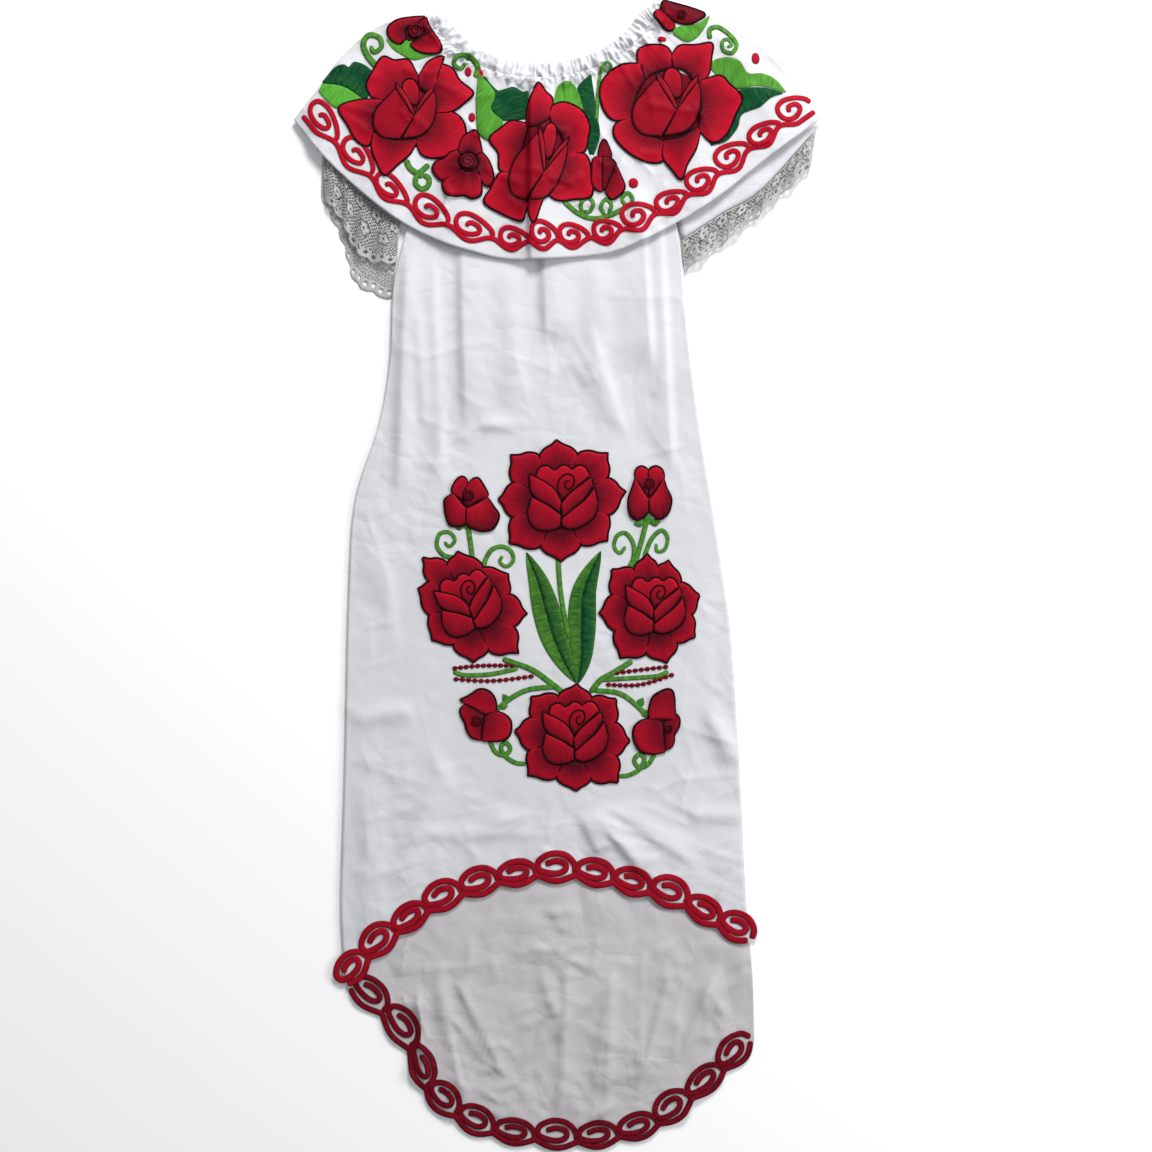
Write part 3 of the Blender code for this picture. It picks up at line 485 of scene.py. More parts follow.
# A leaf of the ruffle: whether it stands for a solid of its name, and each half's base, tip and shades.
RUFFLE_LEAVES = (
    ("ruffle_leaf_left", True, (
        ((-247, 516, -224, 512, -203, 498),
         (-247, 518, -234, 533, -224, 536, -219, 533, -213, 539, -200, 534, -192, 522, -199, 500),
         0.26, 0.20),
        ((-247, 516, -224, 512, -204, 499), (-251, 508, -243, 498, -230, 489, -210, 497), 0.92, 0.88))),
    ("ruffle_leaf_centre_left", True, (
        ((-80, 523, -74, 505, -73, 490, -60, 476),
         (-77, 523, -62, 508, -52, 511, -45, 512, -36, 507, -31, 508, -31, 495, -33, 478), 0.22, 0.26),
        ((-82, 526, -66, 506, -70, 489, -57, 476),
         (-84, 524, -86, 495, -84, 465, -72, 455, -64, 462, -57, 475), 0.86, 0.66))),
    ("ruffle_leaf_centre_right", True, (
        ((34, 525, 21, 513, 20, 500, 24, 480, 28, 460, 33, 441),
         (35, 525, 38, 505, 42, 480, 44, 460, 38, 441), 0.22, 0.24),
        ((-6, 493, 8, 488, 26, 474), (-4, 498, 0, 513, 11, 518, 20, 510, 26, 490, 27, 476), 0.86, 0.72))),
    ("ruffle_leaf_right", True, (
        ((162, 528, 176, 514, 187, 509, 211, 512, 238, 506),
         (160, 530, 162, 539, 176, 543, 190, 539, 199, 526, 214, 526, 228, 520, 239, 507), 0.74, 0.70),
        ((235, 506, 213, 511, 187, 507, 187, 490, 180, 470, 158, 456),
         (236, 505, 223, 500, 211, 490, 193, 483, 188, 469, 176, 455, 160, 450), 0.26, 0.20))),
    ("ruffle_leaf_top_left", False, (
        ((-179, 563, -166, 562, -152, 560, -142, 554, -125, 550),
         (-180, 562, -173, 552, -163, 545, -151, 540, -138, 543, -123, 547), 0.85, 0.75),)),
    ("ruffle_leaf_top_right", False, (
        ((159, 588, 147, 579, 132, 577, 119, 573), (159, 586, 155, 576, 145, 563, 134, 559, 121, 567),
         0.80, 0.70),)),
)
# Satin stems and curls: their points, width in millimetres, and whether they thin towards the end.
STEMS = (
    ((0, 21, 2, -10, 6, -38, 12, -66), 5.6, False),
    ((5, -122, -9, -111, -28, -98, -58, -87), 6.0, False),
    ((0, -116, -30, -119, -49, -128, -64, -140), 5.5, False),
    ((34, -122, 45, -109, 59, -101, 78, -89), 6.0, False),
    ((38, -120, 64, -123, 83, -136, 94, -148), 5.5, False),
    ((-110, -100, -98, -104, -71, -103, -42, -97), 5.0, False),
    ((116, -100, 104, -105, 78, -107, 45, -109), 5.0, False),
    ((-94, 50, -91, 29, -88, 6), 5.6, False),
    ((94, 62, 88, 38, 80, 10), 5.6, False),
    ((-96, 6, -108, 18, -120, 22, -127, 32, -124, 44, -114, 46, -108, 38, -114, 31, -119, 36), 5.6, True),
    ((-78, 0, -77, 14, -70, 27, -59, 31, -49, 26, -47, 16, -54, 10, -61, 15, -58, 21), 5.6, True),
    ((72, 4, 79, 18, 79, 34, 71, 45, 62, 42, 59, 31, 65, 24, 71, 31), 5.6, True),
    ((88, 6, 92, 24, 99, 40, 109, 48, 115, 40, 112, 28, 104, 26, 103, 34), 5.6, True),
    ((-72, -172, -66, -184, -57, -188, -50, -182, -54, -175, -60, -180, -54, -190, -44, -196, -34, -197),
     5.0, False),
    ((102, -186, 95, -197, 86, -201, 80, -194, 85, -187, 91, -192, 85, -203, 74, -209, 64, -210), 5.0,
     False),
)
CURLS = (
    ((-189, 532, -200, 546, -204, 558, -198, 567, -187, 564, -185, 554, -193, 549, -196, 556), 7.4, True),
    ((-86, 522, -84, 534, -92, 543, -104, 545, -109, 537, -102, 531, -97, 537), 6.6, True),
    ((-159, 436, -155, 427, -147, 421, -141, 418), 6.4, False),
    ((-135, 431, -141, 425, -147, 420, -149, 411, -143, 405, -136, 408, -135, 416, -141, 420), 6.0, False),
    ((159, 562, 159, 572, 168, 575, 181, 566, 187, 556, 182, 547, 173, 550, 172, 559, 178, 562, 182, 556,
      177, 553), 5.6, True),
    ((40, 470, 41, 490, 42, 508, 44, 524, 47, 535, 52, 538, 56, 533, 52, 528, 48, 532), 4.6, True),
    ((6, 392, 22, 379, 38, 374, 56, 378, 76, 388), 5.4, False),
    ((26, 378, 24, 389, 31, 396, 37, 390, 33, 381, 27, 382), 4.4, False),
    ((49, 378, 45, 386, 50, 394, 56, 388, 53, 379), 4.4, False),
    ((72, 386, 67, 394, 73, 401, 78, 394, 75, 387), 4.4, False),
)
# Small sepals by a bud: their foot in millimetres, their turn and their length.
TUFTS = ((-52, -133, 122, 11), (-52, -136, 185, 11), (-92, 50, 22, 13), (-98, 51, 168, 12), (-95, 47, 90, 13),
         (96, 55, 10, 12), (91, 57, 195, 12), (94, 53, 90, 14), (84, -138, 62, 12), (86, -142, -20, 11))
# Each row of beads: its line in millimetres, and how many.
BEAD_ROWS = (
    ((-111, -97, -80, -94, -45, -94), 11),
    ((-110, -108, -70, -110, -25, -105), 13),
    ((59, -102, 90, -98, 116, -95), 9),
    ((50, -114, 86, -114, 122, -103), 12),
)
BEAD_HALF = (0.0029, 0.0025)
BEAD_THREAD = 0.0016
BEAD_RISE = 0.0014
# Each drop: its place and half sizes in millimetres.
DROPS = ((-94, 528, 3.6, 5.0), (-82, 526, 3.8, 4.8), (-90, 480, 3.7, 5.0), (207, 542, 4.4, 6.4),
         (109, 562, 4.8, 3.0), (79, 411, 5.2, 5.4))
# One loop of a scroll border in millimetres, along the hem and in from it.
RUFFLE_LOOP = (22, 19, 20, 25, 10, 32, -4, 36, -14, 33, -16, 25, -11, 18, -1, 16, 8, 20, 7, 26, -2, 28,
               -5, 23)
HEM_LOOP = (19, 8, 17, 18, 8, 26, -5, 27, -16, 21, -17, 13, -9, 9, 2, 8, 9, 12, 8, 18, -1, 20, -10, 17)
# Where each scroll of the ruffle stands along its hem: the folds crowd them towards the right.
RUFFLE_SCROLLS = (0.030, 0.113, 0.194, 0.273, 0.354, 0.430, 0.484, 0.532, 0.592, 0.655, 0.717, 0.780, 0.845,
                  0.907, 0.968)
SCROLL_PITCH = 0.044
SCROLL_WIDTH = 0.0056
# The scroll cord's shade at its sides, and the rise of its painted highlight along its middle.
SCROLL_SHADE_AND_HIGHLIGHT = (0.70, 0.16)
SCROLL_IN = 0.0100
SCROLL_WAVE = 0.0085
HEM_PITCH = 0.0385
HEM_LINE_IN = 0.0034
HEM_OUT = 0.0036
LINE_TRIM = 0.004
LOOP_LIFT = 0.0001
LOOP_UNLIKE = 0.09
# The two hem borders: name, cloth, hem, right side, cord width, and the cord's shade and the rise of its
# painted highlight.
HEM_BORDERS = (("front_hem_scroll", "front_panel", FRONT_HEM, RIGHT_SIDE, 0.0070, (0.52, 0.18)),
               # The back border's darker thread is painted shade, like the inside cloth it lies on.
               ("back_hem_scroll", "back_panel", BACK_HEM, BACK_SIDE, 0.0064, (0.30, 0.18)))


def smooth(value):
    """0 below 0, 1 above 1, and a soft S between them."""
    held = np.clip(value, 0.0, 1.0)
    return held * held * (3.0 - 2.0 * held)


def curve(points):
    """A smooth curve through the points, as a function of the share of its length."""
    knots = np.array(points, float)
    ends = np.vstack((2 * knots[0] - knots[1], knots, 2 * knots[-1] - knots[-2]))
    t = (np.arange(CURVE_STEPS) / CURVE_STEPS)[:, None]
    spans = []
    for first, start, end, last in zip(ends, ends[1:], ends[2:], ends[3:]):
        bend = (2 * start + (end - first) * t + (2 * first - 5 * start + 4 * end - last) * t * t
                + (3 * start - first - 3 * end + last) * t ** 3)
        spans.append(bend / 2)
    places = np.vstack((*spans, knots[-1:]))
    reach = np.concatenate(([0.0], np.cumsum(np.linalg.norm(np.diff(places, axis=0), axis=1))))
    reach /= reach[-1]

    def at(share):
        return np.stack([np.interp(share, reach, column) for column in places.T], -1)

    return at


def part_of(line, start, end):
    """The stretch of a curve between two shares of its length."""
    return lambda share: line(start + (end - start) * share)


def shifted(line, distance):
    """A curve moved sideways by a distance, to its right as it runs."""
    def at(share):
        share = np.asarray(share, float)
        along = line(np.minimum(share + 0.01, 1.0)) - line(np.maximum(share - 0.01, 0.0))
        aside = np.stack((along[..., 1], -along[..., 0]), -1)
        aside /= np.linalg.norm(aside, axis=-1, keepdims=True)
        return line(share) + aside * np.asarray(distance)[..., None]

    return at


def patch(top, bottom, left, right):
    """The sheet that fills four edges: u runs from left to right and v from top to bottom."""
    def at(u, v):
        across, along = u[..., None], v[..., None]
        edges = top(u) * (1 - along) + bottom(u) * along + left(v) * (1 - across) + right(v) * across
        upper = top(0.0) * (1 - across) + top(1.0) * across
        lower = bottom(0.0) * (1 - across) + bottom(1.0) * across
        return edges - upper * (1 - along) - lower * along

    return at


def fold_height(folds, x, y, crisp=False):
    """The height of the ridges here, each highest along its line, with a round or a crisp crest."""
    height = np.zeros_like(x)
    for fold in folds:
        along = np.array((fold.x1 - fold.x0, fold.y1 - fold.y0))
        length = math.hypot(*along)
        share = ((x - fold.x0) * along[0] + (y - fold.y0) * along[1]) / length ** 2
        aside = ((x - fold.x0) * along[1] - (y - fold.y0) * along[0]) / length
        width = fold.half_width * np.where(aside > 0, 1.0 - fold.lean, 1.0 + fold.lean)
        ends = smooth((share + END_FADE) / (2 * END_FADE)) * smooth((1 + END_FADE - share) / (2 * END_FADE))
        away = np.abs(aside / width)
        height += fold.height * ends * np.exp(-1.5 * away if crisp else -away ** 2)
    return height


def placed(rows):
    """Folds from rows in millimetres. A seventh number is the lean, as a share."""
    return [Fold(*(value / 1000 for value in row[:6]), *row[6:]) for row in rows]


def strewn(rows):
    """Small straight creases strewn over boxes, each leaning its own way."""
    creases = []
    for count, (left, right, low, high), size, seed in rows:
        chance = np.random.default_rng(seed)
        for _ in range(count):
            x, y = chance.uniform(left, right), chance.uniform(low, high)
            turn, reach = chance.uniform(0, math.pi), size * chance.uniform(0.5, 1.7)
            creases.append(Fold(x, y, x + reach * math.cos(turn), y + reach * math.sin(turn),
                                size * chance.uniform(0.10, 0.22), CREASE_RISE * chance.uniform(0.35, 1.0),
                                chance.uniform(-0.6, 0.6)))
    return creases


def rumple(x, y, size, waves, seed):
    """Fine unplaced creases between 0 and 1, each crest sharper than the hollow beside it."""
    chance = np.random.default_rng(seed)
    total = np.zeros_like(x)
    for _ in range(waves):
        turn = chance.uniform(0, math.pi)
        pitch = size * chance.uniform(0.6, 1.7)
        bend = size * chance.uniform(0.5, 1.1) * np.sin(
            2 * math.pi * (y * math.cos(turn) - x * math.sin(turn)) / (pitch * chance.uniform(1.6, 3.0))
            + chance.uniform(0, 6.3))
        across = x * math.cos(turn) + y * math.sin(turn) + bend
        total += (1.0 - np.abs(np.sin(math.pi * across / pitch + chance.uniform(0, 6.3)))) ** 2
    return total / waves


def off_bouquet(x, y):
    """0 on the oval that the front's stitches hold tight and flat, 1 well outside it."""
    ring = np.hypot((x - BOUQUET_X) / BOUQUET_HALF_WIDTH, (y - BOUQUET_Y) / BOUQUET_HALF_DEPTH)
    return smooth((ring - 1.0) / BOUQUET_EDGE)


def over_ruffle(y):
    """1 where the back ruffle lies underneath, 0 on the skirt."""
    return smooth((y - RAMP_LOW_Y) / (RAMP_HIGH_Y - RAMP_LOW_Y))


def link(material, source, target, into):
    """Joins two nodes of a material by their sockets."""
    material.node_tree.links.new(source, target.inputs[into])


def add_node(material, kind, **settings):
    """A node of this kind, with its own settings and its inputs' values."""
    node = material.node_tree.nodes.new(kind)
    for name, value in settings.items():
        if hasattr(node, name):
            setattr(node, name, value)
        else:
            node.inputs[name.replace("_", " ")].default_value = value
    return node


def new_material(name, colour, roughness, sheen=0.0, gloss=0.25):
    """A material with its own shader, and the shader itself."""
    material = bpy.data.materials.new(name)
    material.use_nodes = True
    shader = material.node_tree.nodes["Principled BSDF"]
    shader.inputs["Base Color"].default_value = (*colour, 1.0)
    shader.inputs["Roughness"].default_value = roughness
    shader.inputs["Sheen Weight"].default_value = sheen
    shader.inputs["Specular IOR Level"].default_value = gloss
    return material, shader


def mapped(material, source, scale):
    """The source's coordinates, stretched by a scale on each axis."""
    mapping = add_node(material, "ShaderNodeMapping", Scale=scale)
    link(material, source, mapping, "Vector")
    return mapping.outputs["Vector"]


def noise(material, vector, scale, detail=2.0, distortion=0.0):
    """A noise texture's value on these coordinates."""
    node = add_node(material, "ShaderNodeTexNoise", Scale=scale, Detail=detail, Distortion=distortion)
    link(material, vector, node, "Vector")
    return node.outputs["Fac"]


def maths(material, operation, *values):
    """The result of an operation on other nodes' values and plain numbers."""
    node = add_node(material, "ShaderNodeMath", operation=operation)
    for index, value in enumerate(values):
        if isinstance(value, float):
            node.inputs[index].default_value = value
        else:
            link(material, value, node, index)
    return node.outputs[0]


def object_place(material):
    """The coordinates on the object itself."""
    return add_node(material, "ShaderNodeTexCoord").outputs["Object"]


def blend_colour(material, factor, low, high):
    """Two colours mixed by a factor."""
    mix = add_node(material, "ShaderNodeMix", data_type="RGBA")
    link(material, factor, mix, 0)
    for socket, colour in ((6, low), (7, high)):
        if isinstance(colour, tuple):
            mix.inputs[socket].default_value = (*colour, 1.0)
        else:
            link(material, colour, mix, socket)
    return mix.outputs[2]


def bump(material, shader, height, strength, distance, under=None):
    """A bump on the shader's normal, laid over another bump where one is given."""
    node = add_node(material, "ShaderNodeBump", Strength=strength, Distance=distance)
    link(material, height, node, "Height")
    if under:
        link(material, under, node, "Normal")
    link(material, node.outputs["Normal"], shader, "Normal")
    return node.outputs["Normal"]


def facets(material, place, scale, patchy):
    """Crumples: small flat facets that meet in straight crisp lines, in some patches of the cloth only."""
    cells = add_node(material, "ShaderNodeTexVoronoi", feature="DISTANCE_TO_EDGE", Scale=scale,
                     Randomness=1.0)
    link(material, place, cells, "Vector")
    worn = add_node(material, "ShaderNodeMapRange", interpolation_type="SMOOTHSTEP",
                    From_Min=WORN_FROM, From_Max=WORN_TO)
    link(material, patchy, worn, "Value")
    return maths(material, "MULTIPLY", cells.outputs["Distance"], worn.outputs["Result"])


def cotton(name, colour, shade, crease):
    """Washed plain-weave cotton: faint slubs along both thread ways, fine creases, a soft nap, and painted
    shade in the hollows of its soft bump.
    """
    material, shader = new_material(name, colour, MATT, COTTON_SHEEN, COTTON_GLOSS)
    place = object_place(material)
    across, along = (noise(material, mapped(material, place, scale), 1.0, 3.0) for scale in SLUBS)
    cloud = noise(material, place, CLOUD_SCALE, 3.0)
    # Painted shade: the noise that lifts the soft bump also mixes in the darker colour where the bump dips.
    link(material, blend_colour(material, cloud, shade, colour), shader, "Base Color")
    soft = bump(material, shader, cloud, crease, CLOUD_DEPTH)
    for stretch, scale, patches, bend, depth in CRUMPLES:
        patchy = noise(material, place, patches, 1.0, bend)
        height = facets(material, mapped(material, place, stretch), scale, patchy)
        soft = bump(material, shader, height, crease, depth, soft)
    bump(material, shader, maths(material, "ADD", across, along), SLUB_STRENGTH, SLUB_DEPTH, soft)
    return material


def lace_thread(name, colour):
    """Machine lace: a matt cotton yarn, twisted, over a fine ground, in a colour darkened by painted shade.
    """
    material, shader = new_material(name, colour, MATT, LACE_SHEEN)
    place = object_place(material)
    patchy = noise(material, place, LACE_PATCHES)
    low = tuple(LACE_LOW * part for part in colour)
    link(material, blend_colour(material, patchy, low, colour), shader, "Base Color")
    bump(material, shader, noise(material, place, LACE_TWIST, 2.0, 0.6), 0.5, LACE_YARN_DEPTH)
    return material


def read_points(data):
    """The vertices of a mesh as an array."""
    points = np.empty(len(data.vertices) * 3, np.float32)
    data.vertices.foreach_get("co", points)
    return points.reshape(-1, 3).astype(float)


def write_points(data, points):
    """Moves the vertices of a mesh to these points."""
    data.vertices.foreach_set("co", np.ascontiguousarray(points, np.float32).ravel())
    data.update()


def write_uv(data, places):
    """A UV map that gives each corner its vertex's place."""
    corners = np.empty(len(data.loops), np.int32)
    data.loops.foreach_get("vertex_index", corners)
    layer = data.uv_layers.new(name="UVMap")
    layer.uv.foreach_set("vector", np.ascontiguousarray(places[corners], np.float32).ravel())


def face_up(data):
    """Turns the faces round where they mostly look down."""
    normals = np.empty(len(data.polygons) * 3, np.float32)
    data.polygons.foreach_get("normal", normals)
    if normals.reshape(-1, 3)[:, 2].sum() < 0:
        data.flip_normals()


def new_item(name, data):
    """An object in the scene that shows this data."""
    item = bpy.data.objects.new(name, data)
    bpy.context.collection.objects.link(item)
    return item


def shown(name, data, material, slot, *nodes):
    """The mesh as a smooth piece that rides with the dress and stands for its nodes."""
    data.materials.append(material)
    data.shade_smooth()
    item = new_item(name, data)
    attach(item, "root")
    if nodes:
        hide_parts(*nodes)
    return item


def flat_grid(name, grid, gap=None):
    """A grid mesh and the u and v of its vertices, without the cells that gap(u, v) opens."""
    mesh = bmesh.new()
    bmesh.ops.create_grid(mesh, x_segments=grid[0], y_segments=grid[1], size=0.5)
    if gap:
        centres = np.array([face.calc_center_median() for face in mesh.faces])
        opened = gap(centres[:, 0] + 0.5, 0.5 - centres[:, 1])
        holes = [face for face, is_open in zip(mesh.faces[:], opened) if is_open]
        bmesh.ops.delete(mesh, geom=holes, context="FACES")
    data = bpy.data.meshes.new(name)
    mesh.to_mesh(data)
    mesh.free()
    flat = read_points(data)
    return data, flat[:, 0] + 0.5, 0.5 - flat[:, 1]


def cloth(name, material, grid, sheet, top, slot="white_cotton", gap=None, wall=WALL):
    """A thin shell of cloth whose upper face is at top(x, y, u, v)."""
    data, u, v = flat_grid(name, grid, gap)
    place = sheet(u, v)
    x, y = place[:, 0], place[:, 1]
    write_points(data, np.stack((x, y, top(x, y, u, v)), -1))
    face_up(data)
    item = shown(name + "_cloth", data, material, slot, name)
    add_wall(item, wall)
    return item


def add_wall(item, wall):
    """The cloth's thickness, under its upper face."""
    shell = item.modifiers.new("Wall", "SOLIDIFY")
    shell.thickness = wall
    shell.offset = -1.0


def scalloped(hem):
    """A hem curve with rounded scallops cut into it."""
    def at(share):
        bulge = np.abs(np.sin(math.pi * HEM_SCALLOPS * np.asarray(share))) - SCALLOP_MEAN
        return shifted(hem, HEM_SCALLOP_DEPTH * bulge)(share)

    return at


def side_edge(neck_end, side):
    """A side seam from the neck down through its own points."""
    return curve((tuple(neck_end), *side))


def low_neck_line():
    """The line under the neck casing, where the body and the sleeves begin."""
    return shifted(curve(NECK), BAND_WIDTH + SEAM_GAP)


def body_sheet(low_neck, hem, right_side):
    """The outline of a body panel between the sleeves and the side seams."""
    return patch(
        part_of(low_neck, SLEEVE_SHARE, 1 - SLEEVE_SHARE), scalloped(curve(hem)),
        side_edge(low_neck(SLEEVE_SHARE), LEFT_SIDE), side_edge(low_neck(1 - SLEEVE_SHARE), right_side))


def below_front(x, y):
    """0 under the front panel, 1 where the back's inside shows below the front hem."""
    hem = curve(FRONT_HEM)(np.linspace(0.0, 1.0, 200))
    return smooth((np.interp(x, hem[:, 0], hem[:, 1]) - BACK_SHOW - y) / BACK_SHOW_RUN)


def back_top(x, y, u, v):
    """The back panel's inside, with crisp folds and creases where it shows below the front."""
    folds = fold_height(placed(BACK_FOLDS), x, y, crisp=True) * smooth((BACK_FOLD_Y - y) / BACK_FOLD_RUN)
    creases = fold_height((*placed(BACK_CREASES), *strewn(BACK_STREWN)), x, y, crisp=True)
    fine = (BACK_CRISP * creases + BACK_RUMPLE * rumple(x, y, *BACK_WAVES)) * below_front(x, y)
    return LAYER * over_ruffle(y) + WALL + folds + fine


def front_top(x, y, u, v):
    """The front panel: flat under the ruffle, tight round its stitches, and pleated and creased elsewhere."""
    covered = smooth((y - PLEAT_FULL_Y) / (PLEAT_HALF_Y - PLEAT_FULL_Y))
    pleats = fold_height(placed(FRONT_FOLDS), x, y) * off_bouquet(x, y) * (1.0 - 0.5 * covered)
    pleats *= smooth((PLEAT_NECK_Y - y) / PLEAT_NECK_RUN) * (0.5 + 0.5 * smooth((1.0 - v) / HEM_PRESS))
    creases = fold_height((*placed(FRONT_CREASES), *strewn(FRONT_STREWN)), x, y, crisp=True)
    loose = TIGHT_SHARE + (1.0 - TIGHT_SHARE) * off_bouquet(x, y)
    fine = (creases + FRONT_RUMPLE * rumple(x, y, *FRONT_WAVES)) * loose
    return LAYER * (1.0 + over_ruffle(y + RAMP_LEAD)) + WALL + pleats + fine * (1.0 - covered)


def back_ruffle_top(x, y, u, v):
    """The back ruffle, flat on the floor."""
    return np.full_like(x, WALL)


def straight(line, share):
    """The short end of the neck casing, straight across it."""
    start, end = line(share), shifted(line, BAND_WIDTH)(share)
    return lambda v: start + (end - start) * np.asarray(v)[..., None]


def uneven(u, count):
    """The phase of so many gathers, spaced unevenly."""
    return 2 * math.pi * (count * u + 0.23 * np.sin(17.3 * u + 1.0) + 0.31 * np.sin(41.0 * u)
                          + 0.20 * np.sin(93.0 * u + 2.0))


def gathered(u, count):
    """Gathers from 0 to 1, with rounded crests and tight hollows."""
    return 1.0 - np.abs(np.cos(uneven(u, count) / 2)) ** 1.4


def neck_puckers():
    """Short crossing puckers strewn along the elastic neck."""
    chance = np.random.default_rng(PUCKER_SEED)
    line = shifted(curve(NECK), PUCKER_IN)
    found = []
    for share in np.arange(0.004, 0.996, PUCKER_PITCH):
        place, ahead = line(share), line(min(share + 0.01, 1.0))
        along = math.atan2(*(ahead - place)[::-1]) if share < 0.98 else 0.5
        turn = along + math.pi / 2 + chance.uniform(-PUCKER_TURN, PUCKER_TURN)
        middle = place + chance.uniform(-PUCKER_SPREAD, PUCKER_SPREAD, 2)
        reach = chance.uniform(*PUCKER_REACH)
        step = np.array((math.cos(turn), math.sin(turn))) * reach
        found.append(Fold(*(middle - step), *(middle + step), chance.uniform(*PUCKER_WIDTH),
                          PUCKER_RISE * chance.uniform(0.4, 1.0), chance.uniform(-0.5, 0.5)))
    return found


def front_band_top(x, y, u, v):
    """The front casing, gathered on its elastic, with its lower edge under the ruffle's."""
    crown = 0.6 + 0.4 * np.sin(math.pi * v)
    gathers = BAND_GATHER_RISE * gathered(u, BAND_GATHERS) * crown
    dive = SEAM_DIVE * smooth((v - 1.0) / BAND_DIVE_RUN + 1.0)
    return 3 * LAYER + gathers + fold_height(neck_puckers(), x, y) - dive


def back_band_top(x, y, u, v):
    """The back casing, pressed flatter under the front's."""
    return np.full_like(x, LAYER) + 0.5 * BAND_GATHER_RISE * gathered(u, BAND_GATHERS)


def shoulder_drop(x, y):
    """How far outside the sleeve's folded edge this point lies, from 0 to 1."""
    drop = np.zeros_like(x)
    for start, end, way in ((NECK[0], LEFT_CUFF[0], 1.0), (NECK[-1], RIGHT_CUFF[0], -1.0)):
        along = np.array(end) - np.array(start)
        along /= np.linalg.norm(along)
        outside = way * ((x - start[0]) * along[1] - (y - start[1]) * along[0])
        drop = np.maximum(drop, smooth((outside - SHOULDER_CLEAR) / SHOULDER_RUN))
    return drop


def ruffle_top(x, y, u, v):
    """The front ruffle lies over the sleeves and bodice and drops at the shoulder folds."""
    spread = smooth(v / RUFFLE_LIFT_RUN)
    climb = RUFFLE_LIFT_HEM - RUFFLE_LIFT_NECK - RUFFLE_DROP * shoulder_drop(x, y)
    gathers = 0.5 - 0.5 * np.cos(2 * math.pi * RUFFLE_GATHERS * u)
    gathers *= smooth((RUFFLE_GATHER_END - v) / RUFFLE_GATHER_END) * smooth(v / RUFFLE_GATHER_START)
    waves = 0.5 - 0.5 * np.cos(math.pi * RUFFLE_GATHERS * u + RUFFLE_WAVE_PHASE)
    waves *= smooth((v - RUFFLE_WAVE_START) / (1.0 - RUFFLE_WAVE_START))
    tight = gathered(u, BAND_GATHERS) * smooth((TIGHT_END - v) / TIGHT_END)
    relief = RUFFLE_GATHER_RISE * gathers + RUFFLE_WAVE_RISE * waves + fold_height(placed(RUFFLE_FOLDS), x, y)
    fine = BAND_GATHER_RISE * RUFFLE_TIGHT * tight + fold_height(neck_puckers(), x, y)
    small = fold_height(strewn(RUFFLE_STREWN), x, y, crisp=True)
    loose = RUFFLE_RUMPLE * rumple(x, y, *RUFFLE_WAVES) + RUFFLE_CRISP * small
    fine += loose * smooth(v / SEAM_RUN) - SEAM_STEP * smooth(1.0 - v / SEAM_RUN)
    fine -= SEAM_DIVE * smooth(1.0 - v / RUFFLE_DIVE_RUN)
    return RUFFLE_LIFT_NECK + spread * climb + relief + fine + WALL


def ruffle_sheet(low_neck, inset):
    """The ruffle's outline, with its hem and sides drawn in by the inset."""
    edge = shifted(low_neck, -SEAM_GAP - BAND_OVERLAP)
    hem = shifted(curve(RUFFLE_HEM), -inset)
    left = shifted(side_edge(edge(0.0), RUFFLE_LEFT), -inset)
    right = shifted(side_edge(edge(1.0), RUFFLE_RIGHT), inset)
    return patch(edge, hem, left, right)


def make_sleeve(name, material, neck_part, cuff, seam, fold):
    """A short sleeve laid flat: its cloth runs under, round the folded edge and back over."""
    data, s, v = flat_grid(name, SLEEVE_GRID)
    turn = np.clip((s - 0.5) / FOLD_EDGE, -1.0, 1.0) * math.pi / 2
    u = np.maximum(np.abs(2 * s - 1) - 2 * FOLD_EDGE, 0.0) / (1 - 2 * FOLD_EDGE)
    outward = fold(0.5) - seam(0.5)
    outward *= LAYER / np.linalg.norm(outward)
    place = patch(neck_part, cuff, fold, seam)(u, v) + outward * np.cos(turn)[:, None]
    half = (2 * WALL + GAP) / 2
    z = LAYER + half + half * np.sin(turn)
    z += SLEEVE_CREASE * rumple(place[:, 0], place[:, 1], *SLEEVE_WAVES) * (s > SLEEVE_OVER)
    write_points(data, np.column_stack((place, z)))
    upper = [face.normal.z for face in data.polygons if face.center.z > LAYER + 1.6 * half]
    if sum(upper) < 0:
        data.flip_normals()
    item = shown(name + "_cloth", data, material, "white_cotton", name)
    add_wall(item, SLEEVE_WALL * WALL)
    return item


def lace_gap(width, depth):
    """Which cells of a lace frill are open: a net, clear rings round the flowers, and eyelets by the edge."""
    def at(u, v):
        a, b = u * width, v * depth
        net = np.cos(2 * math.pi * a / NET_PITCH) * np.cos(2 * math.pi * b / NET_PITCH) > 0.0
        for row, shift in FLOWER_ROWS:
            near = (a / FLOWER_PITCH + shift) % 1.0 - 0.5
            away = np.hypot(near * FLOWER_PITCH, b - row * depth)
            turn = np.arctan2(b - row * depth, near * FLOWER_PITCH)
            waist = FLOWER_WAIST + (1.0 - FLOWER_WAIST) * np.abs(np.cos(FLOWER_PETALS * turn))
            petal = FLOWER_REACH * waist
            net = np.where(away < petal, False, net)
            net = np.where((away > petal) & (away < petal + FLOWER_RING), True, net)
            net = np.where(away < FLOWER_EYE, True, net)
        border = depth - EYELET_IN * EYELET
        hole = np.hypot((a / EYELET_PITCH % 1.0 - 0.5) * EYELET_PITCH, b - border) < EYELET
        net = np.where(np.abs(b - border) < EYELET_BAND * EYELET, hole, net)
        edge = (v > LACE_FOOT) | (v < LACE_TOP) | (u < LACE_SIDE) | (u > 1.0 - LACE_SIDE)
        return net & ~edge

    return at


